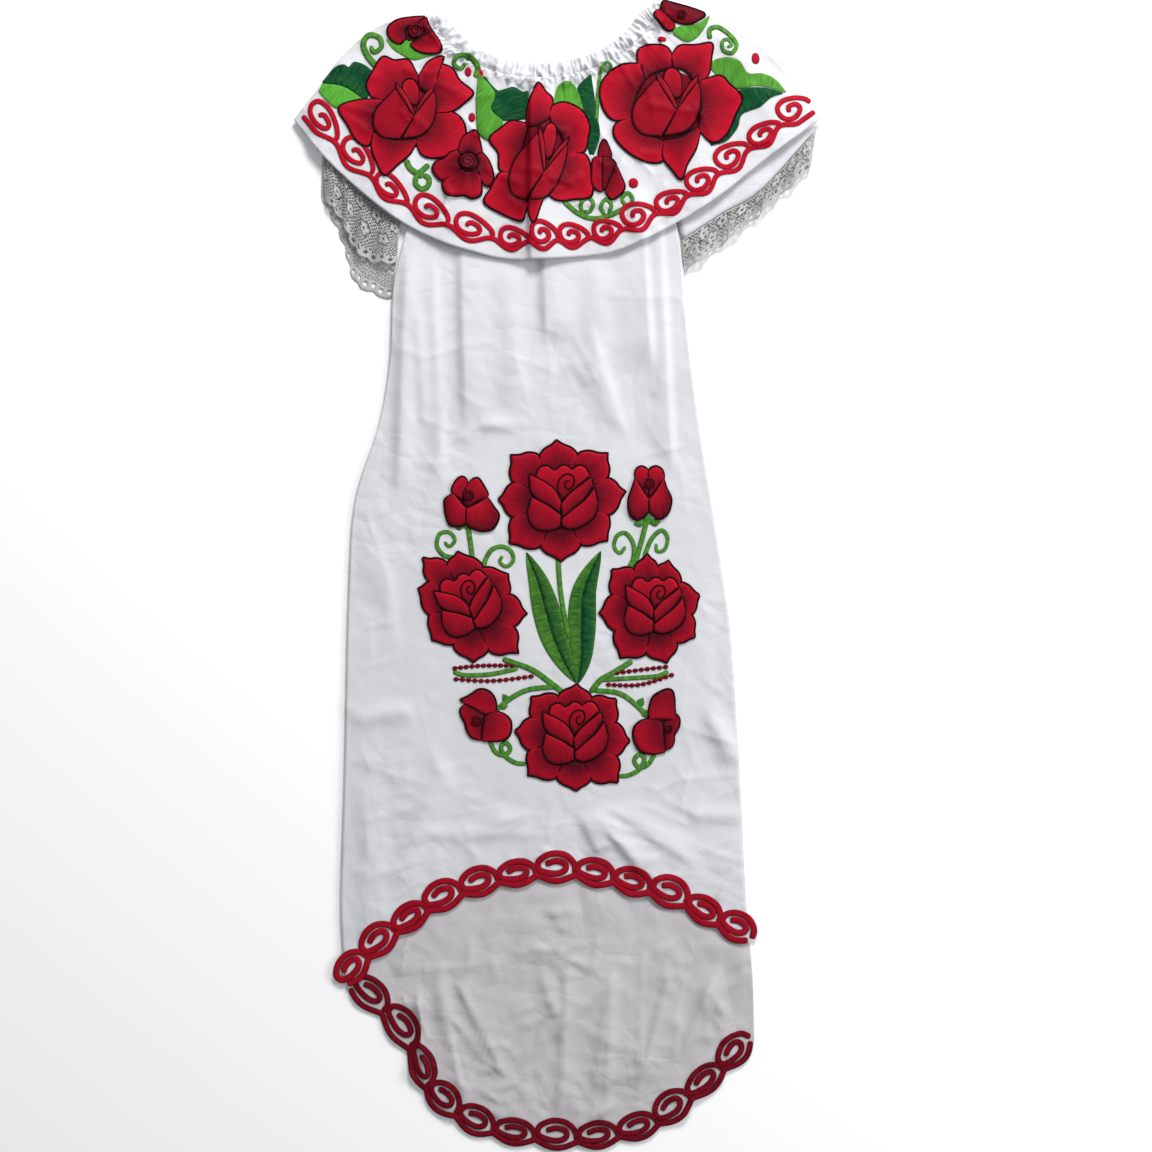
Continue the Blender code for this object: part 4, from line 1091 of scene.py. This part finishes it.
def make_lace(name, material, top, edge, start, drop, wave_rise):
    """A gathered lace frill that hangs from a cuff."""
    outline = curve(edge)
    width = np.linalg.norm(outline(1.0) - outline(0.0))
    depth = np.linalg.norm(outline(0.5) - top(0.5))

    def frill(share):
        bulge = np.abs(np.sin(math.pi * LACE_SCALLOPS * np.asarray(share)))
        return shifted(outline, LACE_SCALLOP_DEPTH * (bulge - SCALLOP_MEAN))(share)

    def side(end):
        return lambda v: top(end) + (frill(end) - top(end)) * v[..., None]

    def lift(x, y, u, v):
        wave = 0.5 - 0.5 * np.cos(2 * math.pi * LACE_WAVES * u)
        pinch = LACE_PINCH * gathered(u, LACE_PINCHES) * (1.0 - 0.5 * v)
        return start + LACE_WALL - drop * smooth(v) + wave_rise * wave * smooth(v / LACE_WAVE_RUN) + pinch

    sheet = patch(top, frill, side(0.0), side(1.0))
    return cloth(name, material, LACE_GRID, sheet, lift, "white_lace", lace_gap(width, depth), LACE_WALL)


def make_cloths():
    """Every cloth of the dress, by name."""
    white = cotton("washed_cotton", WHITE, WHITE_SHADE, WHITE_CREASE)
    # The back's cloth is the white cotton in a darker copy: painted shade.
    shaded_inside = cotton("cotton_inside_painted_shade", SHADED_INSIDE, INSIDE_SHADE, INSIDE_CREASE)
    neck, low_neck = curve(NECK), low_neck_line()
    casing = patch(neck, shifted(neck, BAND_WIDTH), straight(neck, 0.0), straight(neck, 1.0))
    rows = (
        ("neck_band_back", shaded_inside, BAND_GRID, casing, back_band_top),
        ("neck_band_front", white, BAND_GRID, casing, front_band_top),
        ("back_panel", shaded_inside, BACK_GRID, body_sheet(low_neck, BACK_HEM, BACK_SIDE), back_top),
        ("front_panel", white, FRONT_GRID, body_sheet(low_neck, FRONT_HEM, RIGHT_SIDE), front_top),
        ("back_ruffle", white, BACK_RUFFLE_GRID, ruffle_sheet(low_neck, BACK_RUFFLE_INSET), back_ruffle_top),
        ("front_ruffle", white, FRONT_RUFFLE_GRID, ruffle_sheet(low_neck, 0.0), ruffle_top),
    )
    made = {name: cloth(name, *row) for name, *row in rows}
    made.update(make_sides(low_neck, white))
    return made


def make_sides(low_neck, white):
    """Each sleeve and its lace, front and back, from the folded edge inwards."""
    # The lace's darker yarn is painted shade.
    shaded_yarn = lace_thread("lace_yarn_painted_shade", LACE_SHADED_YARN)
    sides = (
        ("left", 0.0, SLEEVE_SHARE, SEAM_GAP, LEFT_CUFF, LEFT_SIDE, LEFT_LACE_FRONT, LEFT_LACE_BACK),
        ("right", 1.0, 1 - SLEEVE_SHARE, -SEAM_GAP, RIGHT_CUFF, RIGHT_SIDE, RIGHT_LACE_FRONT,
         RIGHT_LACE_BACK))
    made = {}
    for side, outer, inner, out, cuff_points, body, front_edge, back_edge in sides:
        cuff = curve(cuff_points)
        seam = shifted(side_edge(low_neck(inner), (body[0], cuff_points[-1])), out)
        fold = curve((tuple(low_neck(outer)), cuff_points[0]))
        name = "sleeve_" + side
        made[name] = make_sleeve(name, white, part_of(low_neck, outer, inner), cuff, seam, fold)
        frills = (("lace_%s_front" % side, front_edge, 2 * LAYER, 0.0, LACE_WAVE_RISE),
                  ("lace_%s_back" % side, back_edge, LAYER, LAYER, 0.0))
        for name, *row in frills:
            made[name] = make_lace(name, shaded_yarn, shifted(cuff, out), *row)
    return made


def satin(name, stops, streak):
    """Satin stitch: fine shining threads along the stitch, in shades that the piece's own shade picks."""
    material, shader = new_material(name, stops[-1][1], SATIN_ROUGHNESS, 0.0, SATIN_GLOSS)
    thread_map = add_node(material, "ShaderNodeUVMap", uv_map="UVMap").outputs["UV"]
    threads, patchy = (noise(material, mapped(material, thread_map, scale), 1.0) for scale in THREAD_SCALES)
    shade = add_node(material, "ShaderNodeAttribute", attribute_name="shade").outputs["Fac"]
    both = maths(material, "ADD", threads, patchy)
    total = maths(material, "ADD", maths(material, "MULTIPLY_ADD", both, streak, -streak), shade)
    ramp = add_node(material, "ShaderNodeValToRGB")
    ramp.color_ramp.elements.remove(ramp.color_ramp.elements[0])
    for place, colour in stops[:-1]:
        ramp.color_ramp.elements.new(place).color = (*colour, 1.0)
    last = ramp.color_ramp.elements[len(stops) - 1]
    last.position, last.color = stops[-1][0], (*stops[-1][1], 1.0)
    link(material, total, ramp, "Fac")
    link(material, ramp.outputs["Color"], shader, "Base Color")
    bump(material, shader, threads, 0.6, THREAD_DEPTH)
    return material


class Stitches:
    """Satin stitches laid on one cloth: domed patches whose rims sink into what carries them."""

    def __init__(self, cloths, carrier, *others):
        self.carrier = carrier
        self.trees = [tree_of(cloths[name].data) for name in (carrier, *others)]
        self.mesh = bmesh.new()
        self.points = []
        self.threads = []
        self.shades = []
        self.shift = 0.0

    def ground(self, places):
        """The cloth's height under each place."""
        heights = []
        for x, y in places:
            hits = [tree.ray_cast(Vector((x, y, 1.0)), DOWN)[0] for tree in self.trees]
            hits = [hit.z for hit in hits if hit is not None]
            if not hits:
                hits = [self.trees[0].find_nearest(Vector((x, y, 0.01)))[0].z]
            heights.append(max(hits))
        return np.array(heights)

    def crest(self, places):
        """The cloth's greatest height close round each place, so that no crease comes through."""
        near = [self.ground(places + step) for step in CREST_STEPS]
        return np.max(near, axis=0)

    def lay(self, cells, place, size, shade, rise, lift=0.0):
        """One puffed patch with steep edges: place(s, t) is flat, s runs across the threads, t along them."""
        bmesh.ops.create_grid(self.mesh, x_segments=cells[0], y_segments=cells[1], size=0.5)
        s, t = grid_shares(cells)
        middle = place(np.array((0.45, 0.55, 0.5, 0.5)), np.array((0.5, 0.5, 0.45, 0.55)))
        side, up = middle[1] - middle[0], middle[3] - middle[2]
        if side[0] * up[1] - side[1] * up[0] < 0:
            s = 1.0 - s
        rim = (np.minimum(s, 1.0 - s) < 1e-6) | (np.minimum(t, 1.0 - t) < 1e-6)
        s, t = stepped(s, cells[0], size[0]), stepped(t, cells[1], size[1])
        flat = place(s, t)
        puff = np.sqrt(np.clip(1.0 - (2 * t - 1) ** 4, 0.0, 1.0) * np.clip(1.0 - (2 * s - 1) ** 6, 0.0, 1.0))
        top = lift + rise * (EDGE_SHARE + (1.0 - EDGE_SHARE) * puff)
        heights = np.where(rim, self.ground(flat) - SINK, self.crest(flat) + top)
        self.points.append(np.column_stack((flat, heights)))
        self.shift += THREAD_SHIFT
        self.threads.append(np.column_stack((s * size[0] + self.shift, t * size[1] + self.shift)))
        self.shades.append(shade(s, t) if callable(shade) else np.full_like(s, shade))

    def petal(self, base, tip, shades, lift=0.0, rise=PETAL_RISE, cells=(18, 10)):
        """A patch of threads from a base line out to a tip line, shaded from one to the other."""
        size = (span(base) + span(tip)) / 2, np.linalg.norm(tip(0.5) - base(0.5))
        low, high = shades

        def place(s, t):
            return base(s) * (1 - t[:, None]) + tip(s) * t[:, None]

        self.lay(cells, place, size, lambda s, t: low + (high - low) * t, rise, lift)

    def cord(self, line, width, shade, lift=0.0, rise=None, step=CORD_STEP, taper=False):
        """A raised line of short stitches sewn across it."""
        length = span(line)
        count = max(int(length / step), 3)

        def place(s, t):
            ahead, behind = line(np.minimum(s + 0.5 / count, 1.0)), line(np.maximum(s - 0.5 / count, 0.0))
            along = ahead - behind
            aside = np.stack((-along[:, 1], along[:, 0]), -1)
            aside /= np.maximum(np.linalg.norm(aside, axis=1, keepdims=True), 1e-9)
            end = np.clip(np.minimum(s, 1.0 - s) * length / (width / 2), 0.0, 1.0)
            half = width / 2 * (CORD_END + (1.0 - CORD_END) * np.sqrt(1.0 - (1.0 - end) ** 2))
            if taper:
                half = half * (1.0 - TAPER * s)
            return line(s) + aside * (half * (2 * t - 1))[:, None]

        self.lay((count, CORD_SIDES), place, (length, width), shade, rise or CORD_RISE * width, lift)

    def disc(self, centre, half, shade, turn=0.0, lift=0.0, rise=PETAL_RISE, cells=(8, 8)):
        """A domed oval, with one half size or two."""
        half = half * np.ones(2)

        def place(s, t):
            a, b = 2 * s - 1, 2 * t - 1
            oval = np.stack((a * np.sqrt(1 - b * b / 2) * half[0], b * np.sqrt(1 - a * a / 2) * half[1]), -1)
            return np.array(centre) + oval @ spun(turn)

        self.lay(cells, place, 2 * half, shade, rise, lift)

    def finish(self, name, thread, *nodes):
        """The name of the cloth that carries the stitches, and the stitches as one piece of the dress."""
        material, slot = thread
        data = bpy.data.meshes.new(name)
        self.mesh.to_mesh(data)
        self.mesh.free()
        write_points(data, np.vstack(self.points))
        write_uv(data, np.vstack(self.threads))
        layer = data.attributes.new("shade", "FLOAT", "POINT")
        layer.data.foreach_set("value", np.concatenate(self.shades).astype(np.float32))
        return self.carrier, shown(name, data, material, slot, *nodes)


def stepped(share, count, length):
    """Shares moved so that the first and last cells are steep edges."""
    edge = min(EDGE / length, 0.5 / count)
    return np.interp(share, (0.0, 1.0 / count, 1.0 - 1.0 / count, 1.0), (0.0, edge, 1.0 - edge, 1.0))


@lru_cache(maxsize=None)
def grid_shares(cells):
    """The two shares of each vertex of a grid, across and along."""
    data, u, v = flat_grid("shares", cells)
    bpy.data.meshes.remove(data)
    return u, 1.0 - v


def tree_of(data):
    """A tree that finds where a line meets a mesh."""
    points = [vertex.co for vertex in data.vertices]
    return BVHTree.FromPolygons(points, [face.vertices for face in data.polygons])


def spun(turn):
    """The matrix that turns points given as rows."""
    return np.array(((math.cos(turn), math.sin(turn)), (-math.sin(turn), math.cos(turn))))


def painted_crown_highlight(low, swell):
    """A painted highlight: a shade that brightens along the middle of a cord, darker at its sides."""
    return lambda s, t: low + swell * np.sin(math.pi * t)


def span(line):
    """The length of a line."""
    return float(np.linalg.norm(np.diff(line(np.linspace(0.0, 1.0, 60)), axis=0), axis=1).sum())


def cornered(points, corner):
    """A line through the points with a sharp turn at one of them."""
    first, second = curve(points[:corner + 1]), curve(points[corner:])

    def at(share):
        share = np.asarray(share)
        return np.where((share < 0.5)[..., None], first(2 * share), second(2 * share - 1.0))

    return at


def set_at(points, centre, scale, turn=0.0, stretch=(1.0, 1.0)):
    """Points of a design in hundredths of its half size, turned and set at their place."""
    points = np.array(points, float).reshape(-1, 2) * stretch * 0.01 * scale
    return np.array(centre) + points @ spun(turn)


def around(centre, degrees, reach):
    """The point at this turn and reach from a centre."""
    turn = math.radians(degrees)
    return centre[0] + reach * math.cos(turn), centre[1] + reach * math.sin(turn)


def outer_petal(work, centre, heart, turns, tip, notches, reach, lift):
    """A pointed petal between two turns, from the heart of the rose out to its tip."""
    steps = [turns[0] + (turns[1] - turns[0]) * part for part in (0.0, 0.33, 0.67, 1.0)]
    base = curve([around(centre, step, heart) for step in steps])
    sides = []
    for turn, notch in zip(turns, notches):
        sides.append([around(centre, turn + (tip - turn) * part, notch + (reach - notch) * out)
                      for part, out in PETAL_SIDE])
    edge = cornered([*sides[0], around(centre, tip, reach), *reversed(sides[1])], len(sides[0]))
    work.petal(base, edge, OUTER_SHADES, lift)
    outline(work, (edge, *joined(base, edge)), lift)


def joined(first, second):
    """The two straight lines between the ends of two lines."""
    return [curve((first(end), second(end))) for end in (0.0, 1.0)]


def outline(work, lines, lift):
    """Near-black stitches along the edges of a petal."""
    for line in lines:
        work.cord(line, OUTLINE, 0.0, lift, OUTLINE_RISE, OUTLINE_STEP)


def drawn_petals(work, design, centre, scale, turn=0.0, lift=0.0, stretch=(1.0, 1.0), cells=(18, 10)):
    """Petals from a design's base and tip lines, each over the one before."""
    for base, tip, low, high in design:
        first = curve(set_at(base, centre, scale, turn, stretch))
        second = curve(set_at(tip, centre, scale, turn, stretch))
        work.petal(first, second, (low, high), lift, cells=cells)
        outline(work, (first, second, *joined(first, second)), lift)
        lift += LIFT_STEP


def spiral(work, centre, radius, lift):
    """The tight curl at a flower's eye, on its own dark disc."""
    work.disc(centre, radius, EYE_SHADE, lift=lift)
    points = [around(centre, 200 + 360 * EYE_TURNS * step, radius * (0.98 - 0.84 * step))
              for step in np.linspace(0, 1, 24)]
    work.cord(curve(points), EYE_LINE, 0.02, lift + EYE_LIFT, OUTLINE_RISE, EYE_STEP)


def full_rose(cloths, thread, rose):
    """An open rose of pointed petals round a folded heart."""
    work = Stitches(cloths, "front_panel")
    centre = rose.x, rose.y
    work.disc(centre, ROSE_GROUND * rose.size, 0.25, rise=ROSE_LIFT)
    turns, reaches = rose.tips[::2], rose.tips[1::2]
    count = len(turns)
    for index in range(count):
        before, after = (index - 1) % count, (index + 1) % count
        gaps = (turns[index] - turns[before]) % 360, (turns[after] - turns[index]) % 360
        notches = [0.0005 * NOTCH * (reaches[other] + reaches[index]) for other in (before, after)]
        edges = turns[index] - gaps[0] / 2 - 1, turns[index] + gaps[1] / 2 + 1
        lift = ROSE_LIFT + 0.5 * LIFT_STEP * (index % 3)
        outer_petal(work, centre, ROSE_HEART * rose.size, edges, turns[index], notches,
                    0.001 * reaches[index], lift)
    heart_lift = ROSE_LIFT + INNER_LIFT
    drawn_petals(work, OPEN_HEART, centre, rose.size, rose.turn, heart_lift, cells=(24, 12))
    eye = curve(set_at(EYE, centre, rose.size, rose.turn))
    work.cord(eye, 0.8 * OUTLINE, 0.03, heart_lift + EYE_LIFT, OUTLINE_RISE, OUTLINE_STEP)
    return work.finish(rose.name + "_satin", thread, rose.name)


def small_bloom(cloths, thread, bloom, *carriers):
    """A bud or small rose: a few drawn petals and a spiral eye."""
    work = Stitches(cloths, *carriers)
    centre = bloom.x, bloom.y
    work.disc(centre, BLOOM_GROUND * bloom.size, 0.22, rise=BLOOM_LIFT)
    drawn_petals(work, bloom.petals, centre, bloom.size, lift=BLOOM_LIFT)
    across, up, radius = bloom.eye
    if radius:
        eye = centre[0] + 0.01 * across * bloom.size, centre[1] + 0.01 * up * bloom.size
        spiral(work, eye, 0.01 * radius * bloom.size, BLOOM_LIFT + EYE_LIFT)
    nodes = (bloom.name,) if bloom.node else ()
    return work.finish(bloom.name + "_satin", thread, *nodes)


def ruffle_rose(cloths, thread, rose):
    """A large rose of the ruffle: big curved petals behind a tall folded bud."""
    work = Stitches(cloths, "front_ruffle")
    centre = rose.x, rose.y
    width, height, drop, turn = rose.bud
    work.disc(centre, RUFFLE_GROUND * rose.size, 0.42, rise=ROSE_LIFT, cells=(30, 30))
    petals = [(*lines, *RUFFLE_SHADES) for lines in rose.petals]
    drawn_petals(work, petals, centre, rose.size, lift=ROSE_LIFT, cells=RUFFLE_CELLS)
    middle = rose.x, rose.y + drop * rose.size
    lift = ROSE_LIFT + INNER_LIFT
    drawn_petals(work, TALL_BUD, middle, rose.size, turn, lift, (width, height), RUFFLE_CELLS)
    return work.finish(rose.name + "_satin", thread, rose.name)


def mm(points):
    """Points from numbers in millimetres, each x followed by its y."""
    return np.array(points, float).reshape(-1, 2) * 0.001


def long_leaf(cloths, thread, name, rib, half, tones):
    """A long pointed leaf in two halves, stitched out from its middle line."""
    work = Stitches(cloths, "front_panel")
    middle = curve(mm(rib))
    for side, tone in zip((-1.0, 1.0), tones):
        def edge(share, side=side):
            swell = np.sin(math.pi * np.clip(np.asarray(share), 0.0, 1.0) ** 0.95) ** 0.75
            return shifted(middle, side * half * swell)(share)

        work.petal(middle, edge, (tone - 0.06, tone + 0.10), rise=GREEN_RISE, cells=(48, 6))
    work.cord(middle, LEAF_RIB, 0.14, 0.0003, OUTLINE_RISE)
    return work.finish(name + "_satin", thread, name)


def ruffle_leaf(cloths, thread, name, has_node, halves):
    """A leaf of the ruffle in one or two halves, each with its own base and tip lines."""
    work = Stitches(cloths, "front_ruffle")
    for index, (base, tip, *shades) in enumerate(halves):
        lift = (2 * index + 1) * LIFT_STEP
        work.petal(curve(mm(base)), curve(mm(tip)), shades, lift, GREEN_RISE, (40, 14))
    nodes = (name,) if has_node else ()
    return work.finish(name + "_satin", thread, *nodes)


def vines(cloths, thread, name, rows, tufts, *carriers):
    """Stems and curls, and the sepals on them."""
    work = Stitches(cloths, *carriers)
    for points, width, taper in rows:
        work.cord(curve(mm(points)), 0.001 * width, painted_crown_highlight(*STEM_SHADE_AND_HIGHLIGHT), taper=taper)
    for x, y, turn, reach in tufts:
        root = 0.001 * x, 0.001 * y
        tip = around(root, turn, 0.001 * reach)
        first, second = (curve((root, around(root, turn + way * 38, 0.0006 * reach), tip)) for way in (1, -1))
        work.petal(first, second, (0.5, 0.65), cells=(8, 6))
    return work.finish(name, thread)


def beads(cloths, thread):
    """Rows of small beads on a thread, along the two sprigs."""
    work = Stitches(cloths, "front_panel")
    for points, count in BEAD_ROWS:
        line = curve(mm(points))
        work.cord(line, BEAD_THREAD, 0.30)
        for share in (np.arange(count) + 0.5) / count:
            along = line(min(share + 0.02, 1.0)) - line(max(share - 0.02, 0.0))
            turn = math.atan2(along[1], along[0])
            work.disc(line(share), np.array(BEAD_HALF), 0.44, turn, cells=(4, 4), rise=BEAD_RISE)
    return work.finish("bouquet_beads", thread)


def drops(cloths, thread):
    """The loose drops of the ruffle."""
    work = Stitches(cloths, "front_ruffle")
    for row in DROPS:
        centre, half = mm(row)
        work.disc(centre, half, 0.72, cells=(6, 6))
    return work.finish("ruffle_drops", thread)


def scroll(cloths, thread, name, carrier, hem, outer, loop, places, pitch, width, shade):
    """A border of spiral loops along a hem, joined by an outer line."""
    work = Stitches(cloths, carrier)
    length = span(hem)
    work.cord(outer, width, shade)
    points = mm(loop)
    middles = (np.array(places[1:]) + places[:-1]) / 2
    rooms = np.diff((2 * places[0] - middles[0], *middles, 2 * places[-1] - middles[-1])) * length
    for index, (place, room) in enumerate(zip(places, rooms)):
        share = place + points[:, 0] * room / pitch / length
        unlike = 1.0 + LOOP_UNLIKE * math.sin(2.3 * index)
        around_loop = shifted(hem, -points[:, 1] * unlike)(np.clip(share, 0.0, 1.0))
        work.cord(curve(around_loop), width, shade, LOOP_LIFT)
    return work.finish(name, thread)


def trimmed(share):
    """A share of a line that stops a little short of both its ends."""
    return LINE_TRIM + (1.0 - 2 * LINE_TRIM) * np.asarray(share)


def ruffle_line(hem):
    """The outer line of the ruffle's border: near the hem under each loop, and further in between them."""
    def at(share):
        step = np.interp(share, RUFFLE_SCROLLS, np.arange(len(RUFFLE_SCROLLS)))
        inset = SCROLL_IN + SCROLL_WAVE * np.sin(math.pi * step) ** 2
        return shifted(hem, -inset)(trimmed(share))

    return at


def hem_line(sheet):
    """The outer line of a hem's border, right at the scalloped edge of its cloth."""
    def edge(share):
        across = np.atleast_1d(np.asarray(share, float))
        return sheet(across, np.ones_like(across)).reshape(*np.shape(share), 2)

    return lambda share: shifted(edge, -HEM_LINE_IN)(trimmed(share))


def borders(cloths, thread):
    """The scrolls along the ruffle's hem and along both hems of the skirt."""
    hem = curve(RUFFLE_HEM)
    pieces = [scroll(cloths, thread, "ruffle_scroll", "front_ruffle", hem, ruffle_line(hem), RUFFLE_LOOP,
                     RUFFLE_SCROLLS, SCROLL_PITCH, SCROLL_WIDTH, painted_crown_highlight(*SCROLL_SHADE_AND_HIGHLIGHT))]
    units = (np.arange(HEM_SCALLOPS) + 0.5) / HEM_SCALLOPS
    for name, carrier, points, side, width, shade in HEM_BORDERS:
        line = hem_line(body_sheet(low_neck_line(), points, side))
        pieces.append(scroll(cloths, thread, name, carrier, shifted(curve(points), HEM_OUT), line, HEM_LOOP,
                             units, HEM_PITCH, width, painted_crown_highlight(*shade)))
    return pieces


def embroider(cloths):
    """All the stitches, by the cloth that carries them."""
    red = satin("red_satin", RED_SHADES, RED_STREAK), "red_thread"
    green = satin("green_satin", GREEN_SHADES, GREEN_STREAK), "green_thread"
    ruffle = "front_ruffle", "neck_band_front"
    pieces = [full_rose(cloths, red, rose) for rose in OPEN_ROSES]
    pieces += [small_bloom(cloths, red, bloom, "front_panel") for bloom in BODY_BUDS]
    pieces += [ruffle_rose(cloths, red, rose) for rose in RUFFLE_ROSES]
    pieces += [small_bloom(cloths, red, bloom, *ruffle) for bloom in RUFFLE_BLOOMS]
    pieces += [long_leaf(cloths, green, *leaf) for leaf in LONG_LEAVES]
    pieces += [ruffle_leaf(cloths, green, *leaf) for leaf in RUFFLE_LEAVES]
    pieces.append(vines(cloths, green, "bouquet_stems", STEMS, TUFTS, "front_panel"))
    pieces.append(vines(cloths, green, "ruffle_curls", CURLS, (), *ruffle))
    pieces += [beads(cloths, red), drops(cloths, red), *borders(cloths, red)]
    stitched = {}
    for carrier, piece in pieces:
        stitched.setdefault(carrier, []).append(piece)
    return stitched


def make_floor():
    """A plain pale floor under the dress."""
    mesh = bmesh.new()
    bmesh.ops.create_grid(mesh, x_segments=1, y_segments=1, size=FLOOR_SIZE)
    bmesh.ops.translate(mesh, verts=mesh.verts[:], vec=(0.0, 0.0, FLOOR_Z))
    data = bpy.data.meshes.new("floor")
    mesh.to_mesh(data)
    mesh.free()
    data.materials.append(new_material("pale_floor", FLOOR_COLOUR, MATT)[0])
    new_item("floor", data)


def make_light(name, place, size, power, colour):
    """A square soft light that points at the middle of the dress."""
    data = bpy.data.lights.new(name, "AREA")
    data.size = size
    data.energy = power
    data.color = colour
    light = new_item(name, data)
    light.location = place
    light.rotation_euler = (-Vector(place)).to_track_quat("-Z", "Y").to_euler()


def make_studio():
    """Soft light, most of it from beyond the neck, and an even pale surround."""
    make_light("key", KEY_PLACE, KEY_SIZE, KEY_POWER, KEY_COLOUR)
    make_light("side", SIDE_PLACE, SIDE_SIZE, SIDE_POWER, SIDE_COLOUR)
    world = bpy.data.worlds.new("pale_room")
    world.use_nodes = True
    surround = world.node_tree.nodes["Background"]
    surround.inputs["Color"].default_value = ROOM_COLOUR
    surround.inputs["Strength"].default_value = ROOM_STRENGTH
    bpy.context.scene.world = world
    bpy.context.scene.view_settings.view_transform = "Standard"


def make_camera():
    """Straight down on the dress, framed as the photograph is."""
    data = bpy.data.cameras.new("camera")
    data.sensor_width = CAMERA_SENSOR
    data.lens = CAMERA_SENSOR * CAMERA_HEIGHT / VIEW_WIDTH
    camera = new_item("camera", data)
    camera.location = (CAMERA_X, 0.0, CAMERA_HEIGHT)
    bpy.context.scene.camera = camera


make_camera()
make_studio()
make_floor()
cloths = make_cloths()
embroider(cloths)
